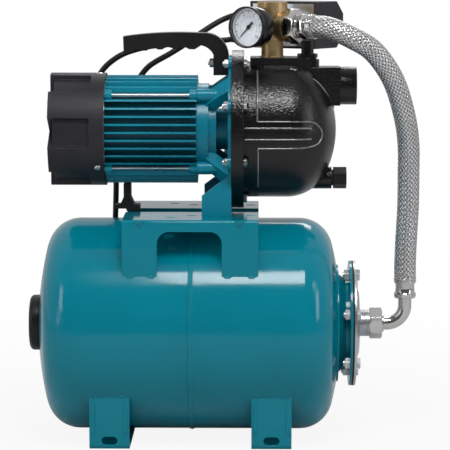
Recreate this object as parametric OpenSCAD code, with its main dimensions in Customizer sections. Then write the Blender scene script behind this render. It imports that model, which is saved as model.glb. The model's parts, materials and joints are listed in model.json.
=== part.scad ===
// Self-priming jet pump booster set: a finned motor and a cast jet pump stand on a
// horizontal pressure tank, joined to it by a braided hose.
// The frame's origin is on the floor, under the middle of the overall length.
// X runs from the motor's fan end to the suction port, and the front is -Y.

/* [Tank] */
// Outer radius of the tank's barrel
tank_r = 135; // [110:1:165]
// Sheet thickness of the tank
tank_wall = 1.5; // [1.2:0.1:2]
// Length of the straight barrel left of the weld seam
left_barrel = 143; // [118:1:175]
// Length of the straight barrel right of the weld seam
right_barrel = 137; // [113:1:165]
// Crown radius of the domed ends
crown_r = 420; // [340:5:510]
// Knuckle radius between barrel and dome
knuckle_r = 42; // [34:1:52]
// Gap between the tank and the floor
floor_gap = 7; // [6:0.5:12]
// Width of the weld bead round the middle
bead_w = 6; // [4:0.5:8]
// Height of the weld bead
bead_h = 1.5; // [1:0.25:2]
// X of the weld seam in the part's frame
seam_x = -40; // [-60:1:-20]

/* [Tank neck and flange] */
// Radius of the collar on the right dome
collar_r = 75; // [70:1:90]
// Thickness of the collar
collar_t = 2; // [1.5:0.5:3]
// Radius of the neck next to its flange
neck_r = 56.5; // [50:0.5:57]
// Radius of the neck at its root
neck_root_r = 63; // [60:0.5:68]
// Radius of the flange and counter flange
flange_r = 80; // [74:1:96]
// Thickness of the neck's flange
flange_t = 3; // [2:0.5:4]
// Flange face, measured from the right dome's apex
neck_rise = 12.4; // [10.5:0.2:15]
// Radius of the flange's bolt circle
flange_bolt_circle = 65.5; // [65:0.5:70]
// Number of flange bolts
flange_bolt_count = 6; // [4:1:8]
// Thickness of the bladder's clamped lip
lip_t = 2; // [1.5:0.5:3]
// Outer radius of the counter flange's threaded nipple
nipple_r = 16.6; // [14:0.2:19]
// Bore radius of the nipple
nipple_bore = 11; // [9:0.5:13]
// Length of the nipple past the counter flange's face
nipple_len = 32; // [27:1:38]

/* [Feet] */
// Distance from the weld seam to each foot's middle
foot_x = 100.8; // [84:0.2:118]
// Width of a foot strap
foot_w = 50; // [42:1:60]
// Distance from the axis plane to a foot's outer face
foot_y = 112; // [94:1:130]
// Sheet thickness of the feet
foot_t = 3; // [2.5:0.5:4]
// Length of the slot in a foot
slot_len = 20; // [17:1:24]
// Half the width of the slot in a foot
slot_r = 5; // [4:0.2:6]
// Height of the slot's middle above the floor
slot_z = 11; // [10:0.5:14]

/* [Platform] */
// Half the length of the platform
platform_half = 84.3; // [80:0.1:100]
// Distance from the axis plane to the platform's skirt
platform_y = 112; // [94:1:130]
// Sheet thickness of the platform
platform_t = 2.5; // [2:0.5:3]
// Height of the platform's top above the tank's crest
platform_gap = 10.5; // [10:0.5:16]
// Half the width of the pressed channel along the platform
channel_half = 16; // [13:1:20]
// Depth of the pressed channel
channel_depth = 5; // [4:0.5:6]
// Half the width of the arch between the legs
arch_half = 40; // [34:1:48]
// Middle of the arch, from the weld seam
arch_x = -1; // [-4:0.5:4]
// Height of sheet above the arch
arch_crest = 14.5; // [12:0.5:18]
// Corner radius of the arch
arch_r = 15; // [12:1:18]

/* [Motor] */
// Height of the shaft's axis above the platform
shaft_rise = 104; // [98:1:124]
// Rear end of the finned housing, from the weld seam
housing_x = -108.7; // [-130:0.1:-100]
// Length of the finned housing
housing_len = 115.7; // [106:0.1:120]
// Radius over the fins
housing_r = 68.5; // [66:0.5:80]
// Radius of the housing's body under the fins
housing_core_r = 59; // [57:0.5:62]
// Inner radius of the housing and outer radius of the stator
stator_r = 53; // [50:0.5:55]
// Inner radius of the stator
stator_bore = 30; // [28:0.5:32]
// Air gap between stator and rotor
air_gap = 0.4; // [0.3:0.05:0.6]
// Length of the stator and rotor packs
pack_len = 62; // [52:1:72]
// Thickness of a fin
fin_t = 2.4; // [2:0.1:3]
// Distance between fins
fin_pitch = 9.9; // [9:0.1:11.5]
// Number of fins across each side
fin_count = 9; // [7:2:9]
// Distance of each tie rod from the axis, both up and across
rod_offset = 45.5; // [45:0.25:46]
// Radius of a tie rod
rod_r = 2.5; // [2:0.1:3]
// Radius of the shaft in its bearings
shaft_r = 7.5; // [6.5:0.1:8.5]
// Length of the fan cover
cover_len = 70; // [60:1:82]
// Outer radius of the fan cover
cover_r = 71.5; // [70:0.5:84]
// Gap between fan cover and housing
cover_gap = 0.3; // [0.2:0.1:1]
// Wall of the fan cover
cover_wall = 3; // [2.5:0.5:3.5]
// Radius of the fan
fan_r = 56; // [47:1:58]

/* [Lantern bracket] */
// Radius of the motor's front end shield
shield_r = 58; // [56:0.5:60]
// Length of the front end shield
shield_len = 24; // [22:1:27]
// Bracket flange face, from the weld seam
bracket_face = 50.3; // [46:0.1:58]
// Thickness of the bracket's flange
bracket_t = 4; // [3.5:0.5:5]
// Radius of the bracket's flange between its lugs
bracket_r = 88; // [87.5:0.5:90]
// Distance of each base cheek from the axis plane
cheek_y = 73; // [68:1:80]
// Rear edge of the base cheeks, from the weld seam
cheek_x = 13.5; // [11:0.5:16]
// Height of the cheeks at their rear edge
cheek_low = 26; // [22:1:30]
// Height of the cheeks at the flange
cheek_high = 53; // [48:1:58]
// Thickness of the cheeks
cheek_t = 5; // [4:0.5:6]

/* [Pump] */
// Radius of the casing's flange
ring_r = 100; // [98:1:118]
// Thickness of the casing's flange
ring_t = 15.2; // [13:0.2:18]
// Radius of the bolt circle of the casing
casing_bolt_circle = 91.5; // [90:0.5:94]
// Number of casing bolts
casing_bolt_count = 8; // [6:2:8]
// Radius of the casing's body
casing_r = 86; // [84:0.5:88]
// Wall of the casing
casing_wall = 6; // [5:0.5:7]
// Length of the casing from its flange face to its nose
casing_len = 132; // [122:1:158]
// Knuckle radius of the casing's nose
nose_knuckle = 55; // [46:1:66]
// Crown radius of the casing's nose
nose_crown = 125; // [105:1:150]
// Height of the discharge pad above the shaft's axis
pad_rise = 91.6; // [90:0.2:109]
// Outer radius of the suction port
suction_r = 24; // [22:0.5:28]
// Radius of the threaded suction bore
suction_bore = 15.1; // [13:0.1:18]
// Depth of the threaded suction bore
suction_depth = 18; // [15:1:21]
// Height of the suction port above the shaft's axis
suction_rise = 55.3; // [50:0.1:60]
// Suction port's mouth, from the weld seam
suction_mouth = 208; // [204:1:240]
// Drain plug's height below the shaft's axis
drain_drop = 62; // [58:1:66]
// Radius of the impeller
impeller_r = 60; // [50:1:66]
// Clearance between a running pair, on the radius
running = 0.05; // [0.03:0.01:0.08]

/* [Five-way fitting] */
// Distance of the fitting's axis from the weld seam
fitting_x = 101.3; // [98:0.1:106]
// Height of the side ports above the discharge pad
port_rise = 39; // [36:0.5:46]
// Height of the fitting's top above the discharge pad
fitting_rise = 69.4; // [66:0.2:83]
// Outer radius of the top and hose ports
port_r = 19; // [17.5:0.5:22]
// Radius of the threaded discharge bore
discharge_bore = 15.1; // [13:0.1:16]
// Depth of the threaded discharge bore
discharge_depth = 17; // [14:0.5:19]
// Radius of the neck above the casing
neck_visible_r = 13.9; // [12.5:0.1:15]
// Turn of the fitting about its own axis, in degrees
fitting_turn = 33; // [20:1:45]
// Distance from the fitting's axis to its large port's face
port_reach = 24; // [22:0.5:28]

/* [Pressure gauge] */
// Outer radius of the gauge
gauge_r = 26; // [22:0.5:31]
// Depth of the gauge's case
gauge_depth = 30; // [25:1:36]
// Distance from the fitting's axis to the gauge's face
gauge_reach = 62; // [60:1:72]
// Wall of the gauge's case
gauge_wall = 2; // [1.5:0.5:2.5]
// Sweep of the needle, in degrees
gauge_sweep = 270; // [220:5:300]

/* [Pressure switch] */
// Length of the switch's cover
switch_len = 99; // [90:1:119]
// Depth of the switch's cover
switch_depth = 70; // [60:1:84]
// Height of the switch's cover
switch_h = 60; // [52:1:72]
// Distance from the fitting's axis to the switch's base plate
switch_reach = 45; // [44:1:54]
// Offset of the cover's middle from its port
switch_shift = -12.5; // [-15:0.5:-8]
// Wall of the switch's cover
switch_wall = 2.5; // [2:0.5:3]

/* [Hose] */
// Outer radius of the braided hose
hose_r = 14; // [11:0.5:16]
// Outer radius of the elbow's tube
elbow_r = 8.5; // [7:0.5:10]
// Bend radius of the elbow, on its centre line
elbow_bend = 23; // [19:1:27]
// Distance of the elbow's upright from the weld seam
elbow_x = 272; // [266:1:290]

/* [Handle and leads] */
// Width of the carry handle
handle_w = 30; // [25:1:36]
// Height of the grip's section
grip_h = 21; // [18:1:22]
// Radius of the electric leads
lead_r = 3.75; // [3.75:0.25:3.75]

/* [Hidden] */
$fn = 96;
eps = 0.01;
seat = 0.05;
rub = 0.3;

function arc(c, r, a0, a1, n) =
    [for (i = [0:n]) let(a = a0 + (a1 - a0) * i / n) [c[0] + r * cos(a), c[1] + r * sin(a)]];
function reversed(l) = [for (i = [len(l) - 1:-1:0]) l[i]];

// Torispherical ends: the barrel ends at `half`, and the dome closes it
function head_turn(r, crown, knuckle) = acos((r - knuckle) / (crown - knuckle));
function head_height(r, crown, knuckle) = crown - sqrt(pow(crown - knuckle, 2) - pow(r - knuckle, 2));
function head_outline(r, crown, knuckle, half, hole, n) =
    let(turn = head_turn(r, crown, knuckle), base = half + head_height(r, crown, knuckle) - crown)
    concat(arc([r - knuckle, half], knuckle, 0, turn, n), arc([0, base], crown, turn, acos(hole / crown), n));

tank_z = tank_r + floor_gap;
dome_h = head_height(tank_r, crown_r, knuckle_r);
left_apex = left_barrel + dome_h;
right_apex = right_barrel + dome_h;
function dome_at(r) = dome_h - crown_r + sqrt(crown_r * crown_r - r * r);
function tank_drop(y) = sqrt(max(tank_r * tank_r - y * y, 1));

// Tank neck, bladder and counter flange
neck_wall = 2;
neck_in = neck_r - neck_wall;
neck_face = right_apex + neck_rise;
counter_face = neck_face + lip_t;
counter_t = 3;
dish_rise = 5;
dish_r = 46;
nipple_end = counter_face + counter_t + dish_rise + nipple_len - 5;
bag_r = tank_r - 23;
bag_wall = 2;
bag_neck_r = neck_in - 2;
bag_right = right_barrel - 37;
bag_left = -left_barrel + 53;
m8_shank = 4;
m8_hole = 4.5;
m8_flats = 13;
m8_head = 5.3;
m8_nut = 6.5;
m6_shank = 3;
m6_hole = 3.4;
m6_flats = 10;
m6_head = 4.2;
m6_nut = 5.2;

// Air valve and its cap
valve_hole = 4;
valve_stem_r = 4 - seat;
valve_len = 9;
valve_pin_r = 1.5;
valve_travel = 1.5;
cap_r = 35.5;
cap_wall = 2;
cap_ring_in = 27;
cap_ring_out = 29;
cap_ring_len = 7.5;
cap_depth = 13;

// Platform
platform_z = tank_z + tank_r + platform_gap;
skirt_end = tank_z + tank_drop(platform_y - platform_t) - 6;
platform_bend = 4;
bracket_hole_x = 31;
bracket_hole_y = 61;
platform_slots = [[-25.5, 78], [0, 61], [74, 59]];
platform_slot_len = 12;
platform_slot_r = 3.2;

// Motor stations, all measured from the weld seam
motor_z = platform_z + shaft_rise;
housing_end = housing_x + housing_len;
shield_rear_t = 10;
shield_rear_r = 62;
cover_x = housing_x - cover_gap - cover_len;
cover_rim = 18;
cover_drum_r = cover_r - 5.5;
cover_step = 6;
pack_x = housing_x + (housing_len - pack_len) / 2;
rotor_r = stator_bore - air_gap;
coil_len = 18;
bearing_w = 11;
bearing_out = 17.5;
bearing_mid = 12.5;
bearing_inner_out = 10.6;
bearing_outer_in = 14.4;
ball_r = 2.9;
ball_groove = 3.2;
ball_count = 8;
rear_bearing_x = housing_x - 6;
front_bearing_x = housing_end + 2;
fan_x = rear_bearing_x - 26;
fan_hub = 18;
fan_blades = 7;
shaft_nose_r = 6;
shaft_start = fan_x - 2;
pump_face = bracket_face;
impeller_x = pump_face + 8;
impeller_w = 13;
shaft_end = impeller_x + impeller_w + 8;
rear_screw_r = 4.2;
rod_head_r = 4;
screw_x = cover_x + cover_len - 8;
screw_turn = 8.5;

// Pump
seal_plate_r = 82;
seal_plate_t = 1.5;
gasket_t = 1;
nose_h = head_height(casing_r, nose_crown, nose_knuckle);
casing_barrel = pump_face + casing_len - nose_h;
cavity_r = casing_r - casing_wall;
seal_seat_r = 14;
seal_bore = shaft_r + 1.5;
diffuser_r = 72;
diffuser_len = 26;
diffuser_wall = 3;
eye_r = 17;
venturi_x = pump_face + seal_plate_t + gasket_t + diffuser_len + 12;
venturi_end = pump_face + casing_len - casing_wall - 3;
venturi_r = 14;
socket_r = 20;
socket_len = 12;
pad_half_y = 28;
pad_x0 = pump_face + ring_t + 8;
pad_x1 = 150;
shoulder_x = 168;
shoulder_drop = 13;
suction_block = 48;
drain_bore = 6.6;
drain_depth = 14;
drain_mouth = 177;
drain_head_r = 14;
drain_head_len = 17;
plug_x = 146;
plug_y = 5;
plug_bore = 8.6;
plug_flange_r = 13;
plug_pad_drop = 3;
thread_travel = 9;

// Fitting, gauge and switch
pad_z = motor_z + pad_rise;
port_z = pad_z + port_rise;
union_flats = 38;
union_len = 19;
tail_flats = 27;
tail_len = 13;
ferrule_r = 15.5;
ferrule_len = 8;
hose_exit = port_reach + union_len + tail_len + ferrule_len;
small_port_r = 9;
small_port_reach = 22;
thread_r = 6.5;
dial_r = gauge_r - gauge_wall - 1;
needle_len = 17;
gauge_pin_r = 1.2;
zero_angle = 135;
base_t = 3;
diaphragm_r = 22;
switch_hex_len = 7;
diaphragm_len = switch_reach - small_port_reach - switch_hex_len;
plunger_r = 3;
plunger_len = 14;
plunger_travel = 1.2;
lever_len = 46;
lever_t = 3;
lever_pin_r = 2;
lever_arm = 30;
lever_x = switch_reach + base_t + 4 + rub;
lever_pin_x = lever_x + lever_t / 2;
spring_r = 7;
gland_r = 7;
gland_len = 16;
gland_depth = 24;
cover_lap = 2;
upper_gland = 12;
lower_gland = -20;

// Handle
handle_x0 = -87;
handle_top = motor_z + 123;
block_x0 = 27;
block_x1 = bracket_face - bracket_t;
block_top = 104;
block_bottom = 69;
handle_bolt_rise = 84;
handle_bolt_r = 3;
handle_arc_r = 480;

// Motor rest
rest_x = -83;
rest_w = 9;
rest_base_half = 16;
rest_base_t = 5;
rest_pad_t = 3;
rest_pad_w = 17;

// Terminal box on the back of the motor
box_x0 = -86;
box_x1 = -14;
box_y0 = housing_r + 0.5;
box_depth = 28;
box_half_h = 30;
box_wall = 2.5;
lid_t = 4;
gland_box_x = -79;
capacitor_r = 12.5;

// Hose, leads and plug: points from the weld seam in X, and from the floor in Z
function from_ports(u, v, up) = [fitting_x + u * sin(fitting_turn) - v * cos(fitting_turn),
    u * cos(fitting_turn) + v * sin(fitting_turn), port_z + up];
function from_gland(up, out) = from_ports(switch_reach + gland_depth - cover_lap,
    switch_len / 2 - switch_shift - 1 + gland_len + out, up);
function round_tank(x, gap, angle) = [x, (tank_r + gap) * cos(angle), tank_z + (tank_r + gap) * sin(angle)];
hose_route = [from_ports(0, -hose_exit, 0), from_ports(0, -hose_exit - 20, -1), [198, -52, port_z - 12],
    [elbow_x - 45, -50, port_z - 30], [elbow_x - 20, -38, port_z - 65], [elbow_x - 5, -23, port_z - 108],
    [elbow_x + 2, -10, port_z - 147], [elbow_x + 3, -3, tank_z + 191], [elbow_x + 3, 0, tank_z + 150],
    [elbow_x + 1, 0, tank_z + 110], [elbow_x, 0, tank_z + 80], [elbow_x, 0, tank_z + 60]];
motor_lead_route = [from_gland(upper_gland, 0), from_gland(upper_gland, 12), [53, 108.7, port_z + 10.5],
    [41, 110, port_z + 6.5], [28, 107, port_z], [9, 97, port_z - 12], [-11, 85, port_z - 26],
    [-32, 79, port_z - 39], [-50, 79, port_z - 49], [-62, 81, port_z - 58], [-74, 82.7, port_z - 74],
    [gland_box_x, box_y0 + 14, motor_z + box_half_h + 13]];
mains_route = [from_gland(lower_gland, 0), from_gland(lower_gland, 12), [53, 108.8, port_z - 20.5],
    [41, 110.8, port_z - 22], [28, 109, port_z - 23], [0, 101, port_z - 25], [-33, 92, port_z - 27],
    [-66, 83, port_z - 31], [-98, 77, port_z - 42], [-122, 78, port_z - 64], [-129, 84, port_z - 95],
    [-121, cover_r + 18.5, motor_z - 6], [-105, cover_r + 23.5, motor_z - 46], round_tank(-105, 32, 52),
    round_tank(-109, 20, 38), round_tank(-110, 10.5, 22), round_tank(-110, 8.5, 6), round_tank(-110, 15, -13),
    [-110, tank_r + 15, 60], [-110, tank_r + 21.5, 37], [-110, tank_r + 33, 17.5], [-110, tank_r + 46, 7.5],
    [-110, tank_r + 64, lead_r]];
coil_mid = 41;
coil_x = coil_mid - 110;
coil_y = tank_r + 70;
coil_h = 7 * lead_r;
plug_relief = 26;
plug_tip_y = coil_y - 23;
plug_body_r = 19.5;
plug_body_len = 36;
plug_pin_r = 2.4;
plug_pin_len = 19;

// Placing and shaping helpers
module at_tank() { translate([seam_x, 0, tank_z]) children(); }
module at_motor() { translate([seam_x, 0, motor_z]) children(); }
module revolve_x() { rotate([0, 90, 0]) rotate_extrude() children(); }
module revolve_left() { rotate([0, -90, 0]) rotate_extrude() children(); }
module rod_x(x, r, l) { translate([x, 0, 0]) rotate([0, 90, 0]) cylinder(r = r, h = l); }
module tube_x(x, r, bore, l) {
    difference() {
        rod_x(x, r, l);
        rod_x(x - 1, bore, l + 2);
    }
}
module hex_x(x, flats, l) { translate([x, 0, 0]) rotate([0, 90, 0]) cylinder(r = flats / sqrt(3), h = l, $fn = 6); }
module round_bolts(circle_r, count, first) {
    for (i = [0:count - 1]) rotate([first + 360 * i / count, 0, 0]) translate([0, 0, circle_r]) children();
}
module slot_y(len, r, depth) {
    rotate([90, 0, 0]) translate([0, 0, -depth / 2]) {
        for (s = [-1, 1]) translate([s * (len / 2 - r), 0, 0]) cylinder(r = r, h = depth);
        translate([r - len / 2, -r, 0]) cube([len - 2 * r, 2 * r, depth]);
    }
}

// A tube along hand-placed points, smoothed between them
function lerp3(a, b, t) = a + (b - a) * t;
function spline(p, i, t) =
    let(n = len(p) - 1, a = p[max(i - 1, 0)], b = p[i], c = p[min(i + 1, n)], d = p[min(i + 2, n)])
    0.5 * (2 * b + (c - a) * t + (2 * a - 5 * b + 4 * c - d) * t * t + (3 * b - a - 3 * c + d) * t * t * t);
function path(p, steps) =
    concat([for (i = [0:len(p) - 2]) for (k = [0:steps - 1]) spline(p, i, k / steps)], [p[len(p) - 1]]);
function unit(v) = v / norm(v);
function tangent(p, i) = unit(p[min(i + 1, len(p) - 1)] - p[max(i - 1, 0)]);
function carried(n, t) = unit(n - t * (n * t));
function normals(p, i, n) = i == 0 ? [carried(n, tangent(p, 0))]
    : let(done = normals(p, i - 1, n)) concat(done, [carried(done[i - 1], tangent(p, i))]);
module sweep(p, r, sides, first) {
    count = len(p);
    frames = normals(p, count - 1, first);
    points = [for (i = [0:count - 1]) let(t = tangent(p, i), n = frames[i], b = cross(t, n))
        for (k = [0:sides - 1]) let(a = 360 * k / sides) p[i] + r * (cos(a) * n + sin(a) * b)];
    walls = [for (i = [0:count - 2]) for (k = [0:sides - 1]) let(m = (k + 1) % sides)
        let(a = i * sides, c = a + sides) each [[a + k, a + m, c + m], [a + k, c + m, c + k]]];
    ends = [[for (k = [sides - 1:-1:0]) k], [for (k = [0:sides - 1]) (count - 1) * sides + k]];
    polyhedron(points = points, faces = [for (f = concat(walls, ends)) reversed(f)], convexity = 6);
}

// Tank
module half_shell(half, hole) {
    outer = head_outline(tank_r, crown_r, knuckle_r, half, hole, 12);
    inner = head_outline(tank_r - tank_wall, crown_r - tank_wall, knuckle_r - tank_wall, half, hole, 12);
    polygon(concat([[tank_r, 0]], outer, reversed(inner), [[tank_r - tank_wall, 0]]));
}

module tank_shell_left() {
    color("teal") at_tank() revolve_left() half_shell(left_barrel, valve_hole);
}

// The right shell also carries the weld bead that closes the barrel
module tank_shell_right() {
    color("teal") at_tank() revolve_x() {
        half_shell(right_barrel, neck_in);
        polygon([[tank_r, -bead_w / 2], [tank_r + bead_h * 0.7, -bead_w / 3], [tank_r + bead_h, 0],
            [tank_r + bead_h * 0.7, bead_w / 3], [tank_r, bead_w / 2]]);
    }
}

module tank_neck() {
    dome = [for (i = [0:6]) let(r = neck_in + (collar_r - neck_in) * i / 6) [r, right_barrel + dome_at(r) + seat]];
    rim = right_barrel + dome_at(collar_r) + collar_t;
    color("teal") at_tank() difference() {
        revolve_x() polygon(concat(dome, [[collar_r, rim], [neck_root_r + 1, rim], [neck_root_r, rim + 1.5],
            [neck_r, rim + 9], [neck_r, neck_face - flange_t], [flange_r, neck_face - flange_t],
            [flange_r, neck_face], [neck_in, neck_face]]));
        round_bolts(flange_bolt_circle, flange_bolt_count, 12) rod_x(neck_face - flange_t - 1, m8_hole, flange_t + 2);
    }
}

function bag_outline(d) = concat([[bag_neck_r - d, neck_face], [bag_neck_r - d, bag_right + 50 - d]],
    arc([bag_r - 50, bag_right], 50 - d, 90, 0, 8), arc([bag_r - 60, bag_left], 60 - d, 0, -90, 8),
    [[0, bag_left - 60 + d]]);

module bladder() {
    color("black") at_tank() difference() {
        revolve_x() polygon(concat([[0, bag_left - 60 + bag_wall]], reversed(bag_outline(bag_wall)),
            [[bag_neck_r - bag_wall, counter_face], [flange_r, counter_face], [flange_r, neck_face]],
            bag_outline(0)));
        round_bolts(flange_bolt_circle, flange_bolt_count, 12) rod_x(neck_face - 1, m8_hole, lip_t + 2);
    }
}

module counter_flange() {
    face = counter_face;
    color("gainsboro") at_tank() difference() {
        revolve_x() polygon([[nipple_bore, face + dish_rise], [dish_r - 8, face + dish_rise], [dish_r + 6, face],
            [flange_r, face], [flange_r, face + counter_t], [dish_r + 7, face + counter_t],
            [dish_r - 7, face + counter_t + dish_rise], [nipple_r, face + counter_t + dish_rise],
            [nipple_r, nipple_end], [nipple_bore, nipple_end]]);
        round_bolts(flange_bolt_circle, flange_bolt_count, 12) rod_x(face - 1, m8_hole, counter_t + 2);
    }
}

module flange_bolts() {
    grip = flange_t + lip_t + counter_t;
    color("silver") at_tank() round_bolts(flange_bolt_circle, flange_bolt_count, 12) {
        hex_x(counter_face + counter_t, m8_flats, m8_head);
        rod_x(neck_face - flange_t - m8_nut - 2, m8_shank, grip + m8_nut + 2);
        difference() {
            hex_x(neck_face - flange_t - m8_nut, m8_flats, m8_nut);
            rod_x(neck_face - flange_t - m8_nut - 1, m8_shank + seat, m8_nut + 2);
        }
    }
}

// Air side of the tank. These are drawn to the right and turned to the left dome
module at_valve() { at_tank() translate([-left_apex, 0, 0]) mirror([1, 0, 0]) children(); }

module air_valve() {
    ring_seat = dome_at(cap_ring_in) - dome_h + seat;
    foot = dome_at(10) - dome_h + seat;
    color("goldenrod") at_valve() difference() {
        union() {
            tube_x(-6, valve_stem_r, valve_pin_r + running, 6 + valve_len);
            revolve_x() polygon([[valve_stem_r - 1, seat], [10, foot], [10, 3], [valve_stem_r - 1, 3]]);
        }
        rod_x(-7, valve_pin_r + running, valve_len + 8);
    }
    color("teal") at_valve() revolve_x() polygon([[cap_ring_in, ring_seat],
        [cap_ring_out, ring_seat], [cap_ring_out, cap_ring_len], [cap_ring_in, cap_ring_len]]);
}

module valve_pin() { color("gold") at_valve() rod_x(-9, valve_pin_r, valve_len + 9 + valve_travel); }

module valve_cap() {
    rim = dome_at(cap_r) - dome_h + rub;
    color("black") at_valve() revolve_x() polygon(concat([[0, cap_depth - cap_wall]],
        [[cap_ring_out + running, cap_depth - cap_wall - 1.5], [cap_ring_out + running, rim + 1], [cap_r, rim]],
        arc([cap_r - 6, cap_depth - 7], 6, 0, 70, 5), [[0, cap_depth]]));
}

// Feet and platform
module bent_u(half_y, t, bend, top) {
    outer = concat(arc([bend - half_y, bend], bend, 180, 270, 4),
        arc([half_y - bend, bend], bend, 270, 360, 4));
    inner = concat(arc([bend - half_y, bend], bend - t, 180, 270, 4),
        arc([half_y - bend, bend], bend - t, 270, 360, 4));
    polygon(concat([[-half_y, top]], outer, [[half_y, top], [half_y - t, top]], reversed(inner), [[t - half_y, top]]));
}

module foot(x) {
    bend = foot_t + 3;
    top = tank_z - tank_drop(foot_y) + 1;
    translate([seam_x + x, 0, 0]) difference() {
        union() {
            translate([-foot_w / 2, 0, 0]) rotate([90, 0, 90]) linear_extrude(foot_w)
                bent_u(foot_y, foot_t, bend, top);
            for (sx = [-1, 1]) for (sy = [-1, 1])
                translate([sx * (foot_w / 2 - 5), sy * (foot_y - 0.6), bend + 14])
                    cylinder(r = 2.4, h = top - bend - 22);
        }
        translate([0, 0, tank_z]) rotate([0, 90, 0]) cylinder(r = tank_r + seat, h = foot_w + 10, center = true);
        translate([0, 0, slot_z]) slot_y(slot_len, slot_r, 2 * foot_y + 20);
    }
}

module foot_left() { color("teal") foot(-foot_x); }
module foot_right() { color("teal") foot(foot_x); }

module platform_section() {
    t = platform_t;
    b = platform_bend;
    y = platform_y;
    z = platform_z;
    d = channel_depth;
    c = channel_half;
    polygon(concat([[-y, skirt_end]], arc([b - y, z - b], b, 180, 90, 4),
        [[-c - d, z], [-c, z - d], [c, z - d], [c + d, z]], arc([y - b, z - b], b, 90, 0, 4),
        [[y, skirt_end], [y - t, skirt_end]], arc([y - b, z - b], b - t, 0, 90, 4),
        [[c + d - t / 2, z - t], [c - t / 2, z - d - t], [t / 2 - c, z - d - t], [t / 2 - c - d, z - t]],
        arc([b - y, z - b], b - t, 90, 180, 4), [[t - y, skirt_end]]));
}

module arch_cut() {
    h = platform_z - arch_crest;
    translate([seam_x + arch_x, 0, 0]) {
        for (s = [-1, 1]) translate([s * (arch_half - arch_r), 0, h - arch_r]) rotate([90, 0, 0])
            cylinder(r = arch_r, h = 2 * platform_y + 20, center = true);
        translate([arch_r - arch_half, -platform_y - 10, h - arch_r - 1])
            cube([2 * (arch_half - arch_r), 2 * platform_y + 20, arch_r + 1]);
        translate([-arch_half, -platform_y - 10, skirt_end - 10])
            cube([2 * arch_half, 2 * platform_y + 20, h - arch_r - skirt_end + 10]);
    }
}

module platform() {
    color("teal") difference() {
        translate([seam_x - platform_half, 0, 0]) rotate([90, 0, 90]) linear_extrude(2 * platform_half)
            platform_section();
        arch_cut();
        at_tank() rotate([0, 90, 0]) cylinder(r = tank_r + seat, h = 2 * platform_half + 20, center = true);
        for (p = platform_slots) for (s = [-1, 1]) translate([seam_x + p[0], s * p[1], platform_z]) rotate([90, 0, 0])
            slot_y(platform_slot_len, platform_slot_r, 4 * platform_t);
        for (s = [-1, 1]) translate([seam_x + bracket_hole_x, s * bracket_hole_y, platform_z - 5])
            cylinder(r = m8_hole, h = 10);
    }
}

// Bolts that hold the bracket on the platform and the handle on the bracket
module mounting_bolts() {
    pad = cheek_t;
    color("silver") for (s = [-1, 1]) translate([seam_x + bracket_hole_x, s * bracket_hole_y, platform_z]) {
        translate([0, 0, pad]) cylinder(r = m8_flats / sqrt(3), h = m8_head, $fn = 6);
        translate([0, 0, -platform_t - m8_nut - 1]) cylinder(r = m8_shank, h = pad + platform_t + m8_nut + 1);
        difference() {
            translate([0, 0, -platform_t - m8_nut]) cylinder(r = m8_flats / sqrt(3), h = m8_nut, $fn = 6);
            translate([0, 0, -platform_t - m8_nut - 1]) cylinder(r = m8_shank + seat, h = m8_nut + 2);
        }
    }
    color("silver") at_motor() translate([0, 0, handle_bolt_rise]) {
        rod_x(block_x0 - 7, handle_bolt_r, bracket_face - block_x0 + 7);
        difference() {
            hex_x(block_x0 - 5, 10, 5);
            rod_x(block_x0 - 6, handle_bolt_r + seat, 7);
        }
    }
}

module motor_rest() {
    post_top = motor_z - housing_r;
    base = platform_z + rest_pad_t;
    color("black") translate([seam_x + rest_x, 0, 0]) rotate([90, 0, 0]) translate([0, 0, -13]) linear_extrude(26)
        polygon([[rest_base_half - rest_pad_w, platform_z], [rest_base_half, platform_z],
            [rest_base_half, base + rest_base_t],
            [9, base + rest_base_t], [rest_w / 2, base + 15], [rest_w / 2, post_top], [-rest_w / 2, post_top],
            [-rest_w / 2, base + 15], [-9, base + rest_base_t], [-rest_base_half, base + rest_base_t],
            [-rest_base_half, base], [rest_base_half - rest_pad_w, base]]);
}

// Motor
module fan_cover() {
    drum_x = cover_x + cover_step;
    rim_x = cover_x + cover_len - cover_rim;
    block_w = 2 * cover_r * sin(15);
    color("dimgray") at_motor() difference() {
        union() {
            rod_x(rim_x, cover_r, cover_rim);
            rod_x(drum_x, cover_drum_r, cover_len - cover_step - 1);
            intersection() {
                tube_x(cover_x, cover_r, 30, cover_len - cover_rim + 1);
                for (i = [0:2]) rotate([30 + 60 * i, 0, 0]) translate([cover_x, -cover_r, -block_w / 2])
                    cube([cover_len, 2 * cover_r, block_w]);
            }
        }
        rod_x(drum_x + cover_wall, cover_drum_r - cover_wall, cover_len);
        rod_x(rim_x + cover_wall, cover_r - cover_wall, cover_len);
        for (i = [0:11]) rotate([15 + 30 * i, 0, 0]) translate([cover_x - 1, -2, 14])
            cube([cover_step + cover_wall + 2, 4, 30]);
        round_bolts(cover_r - 1.5, 3, screw_turn) translate([screw_x, 0, -4]) cylinder(r = rear_screw_r / 2 + 0.4, h = 8);
    }
}

module fan_cover_screws() {
    color("silver") at_motor() round_bolts(cover_r, 3, screw_turn) translate([screw_x, 0, 0]) {
        cylinder(r = rear_screw_r, h = 1.6);
        translate([0, 0, -9]) cylinder(r = rear_screw_r / 2, h = 9);
    }
}

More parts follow.
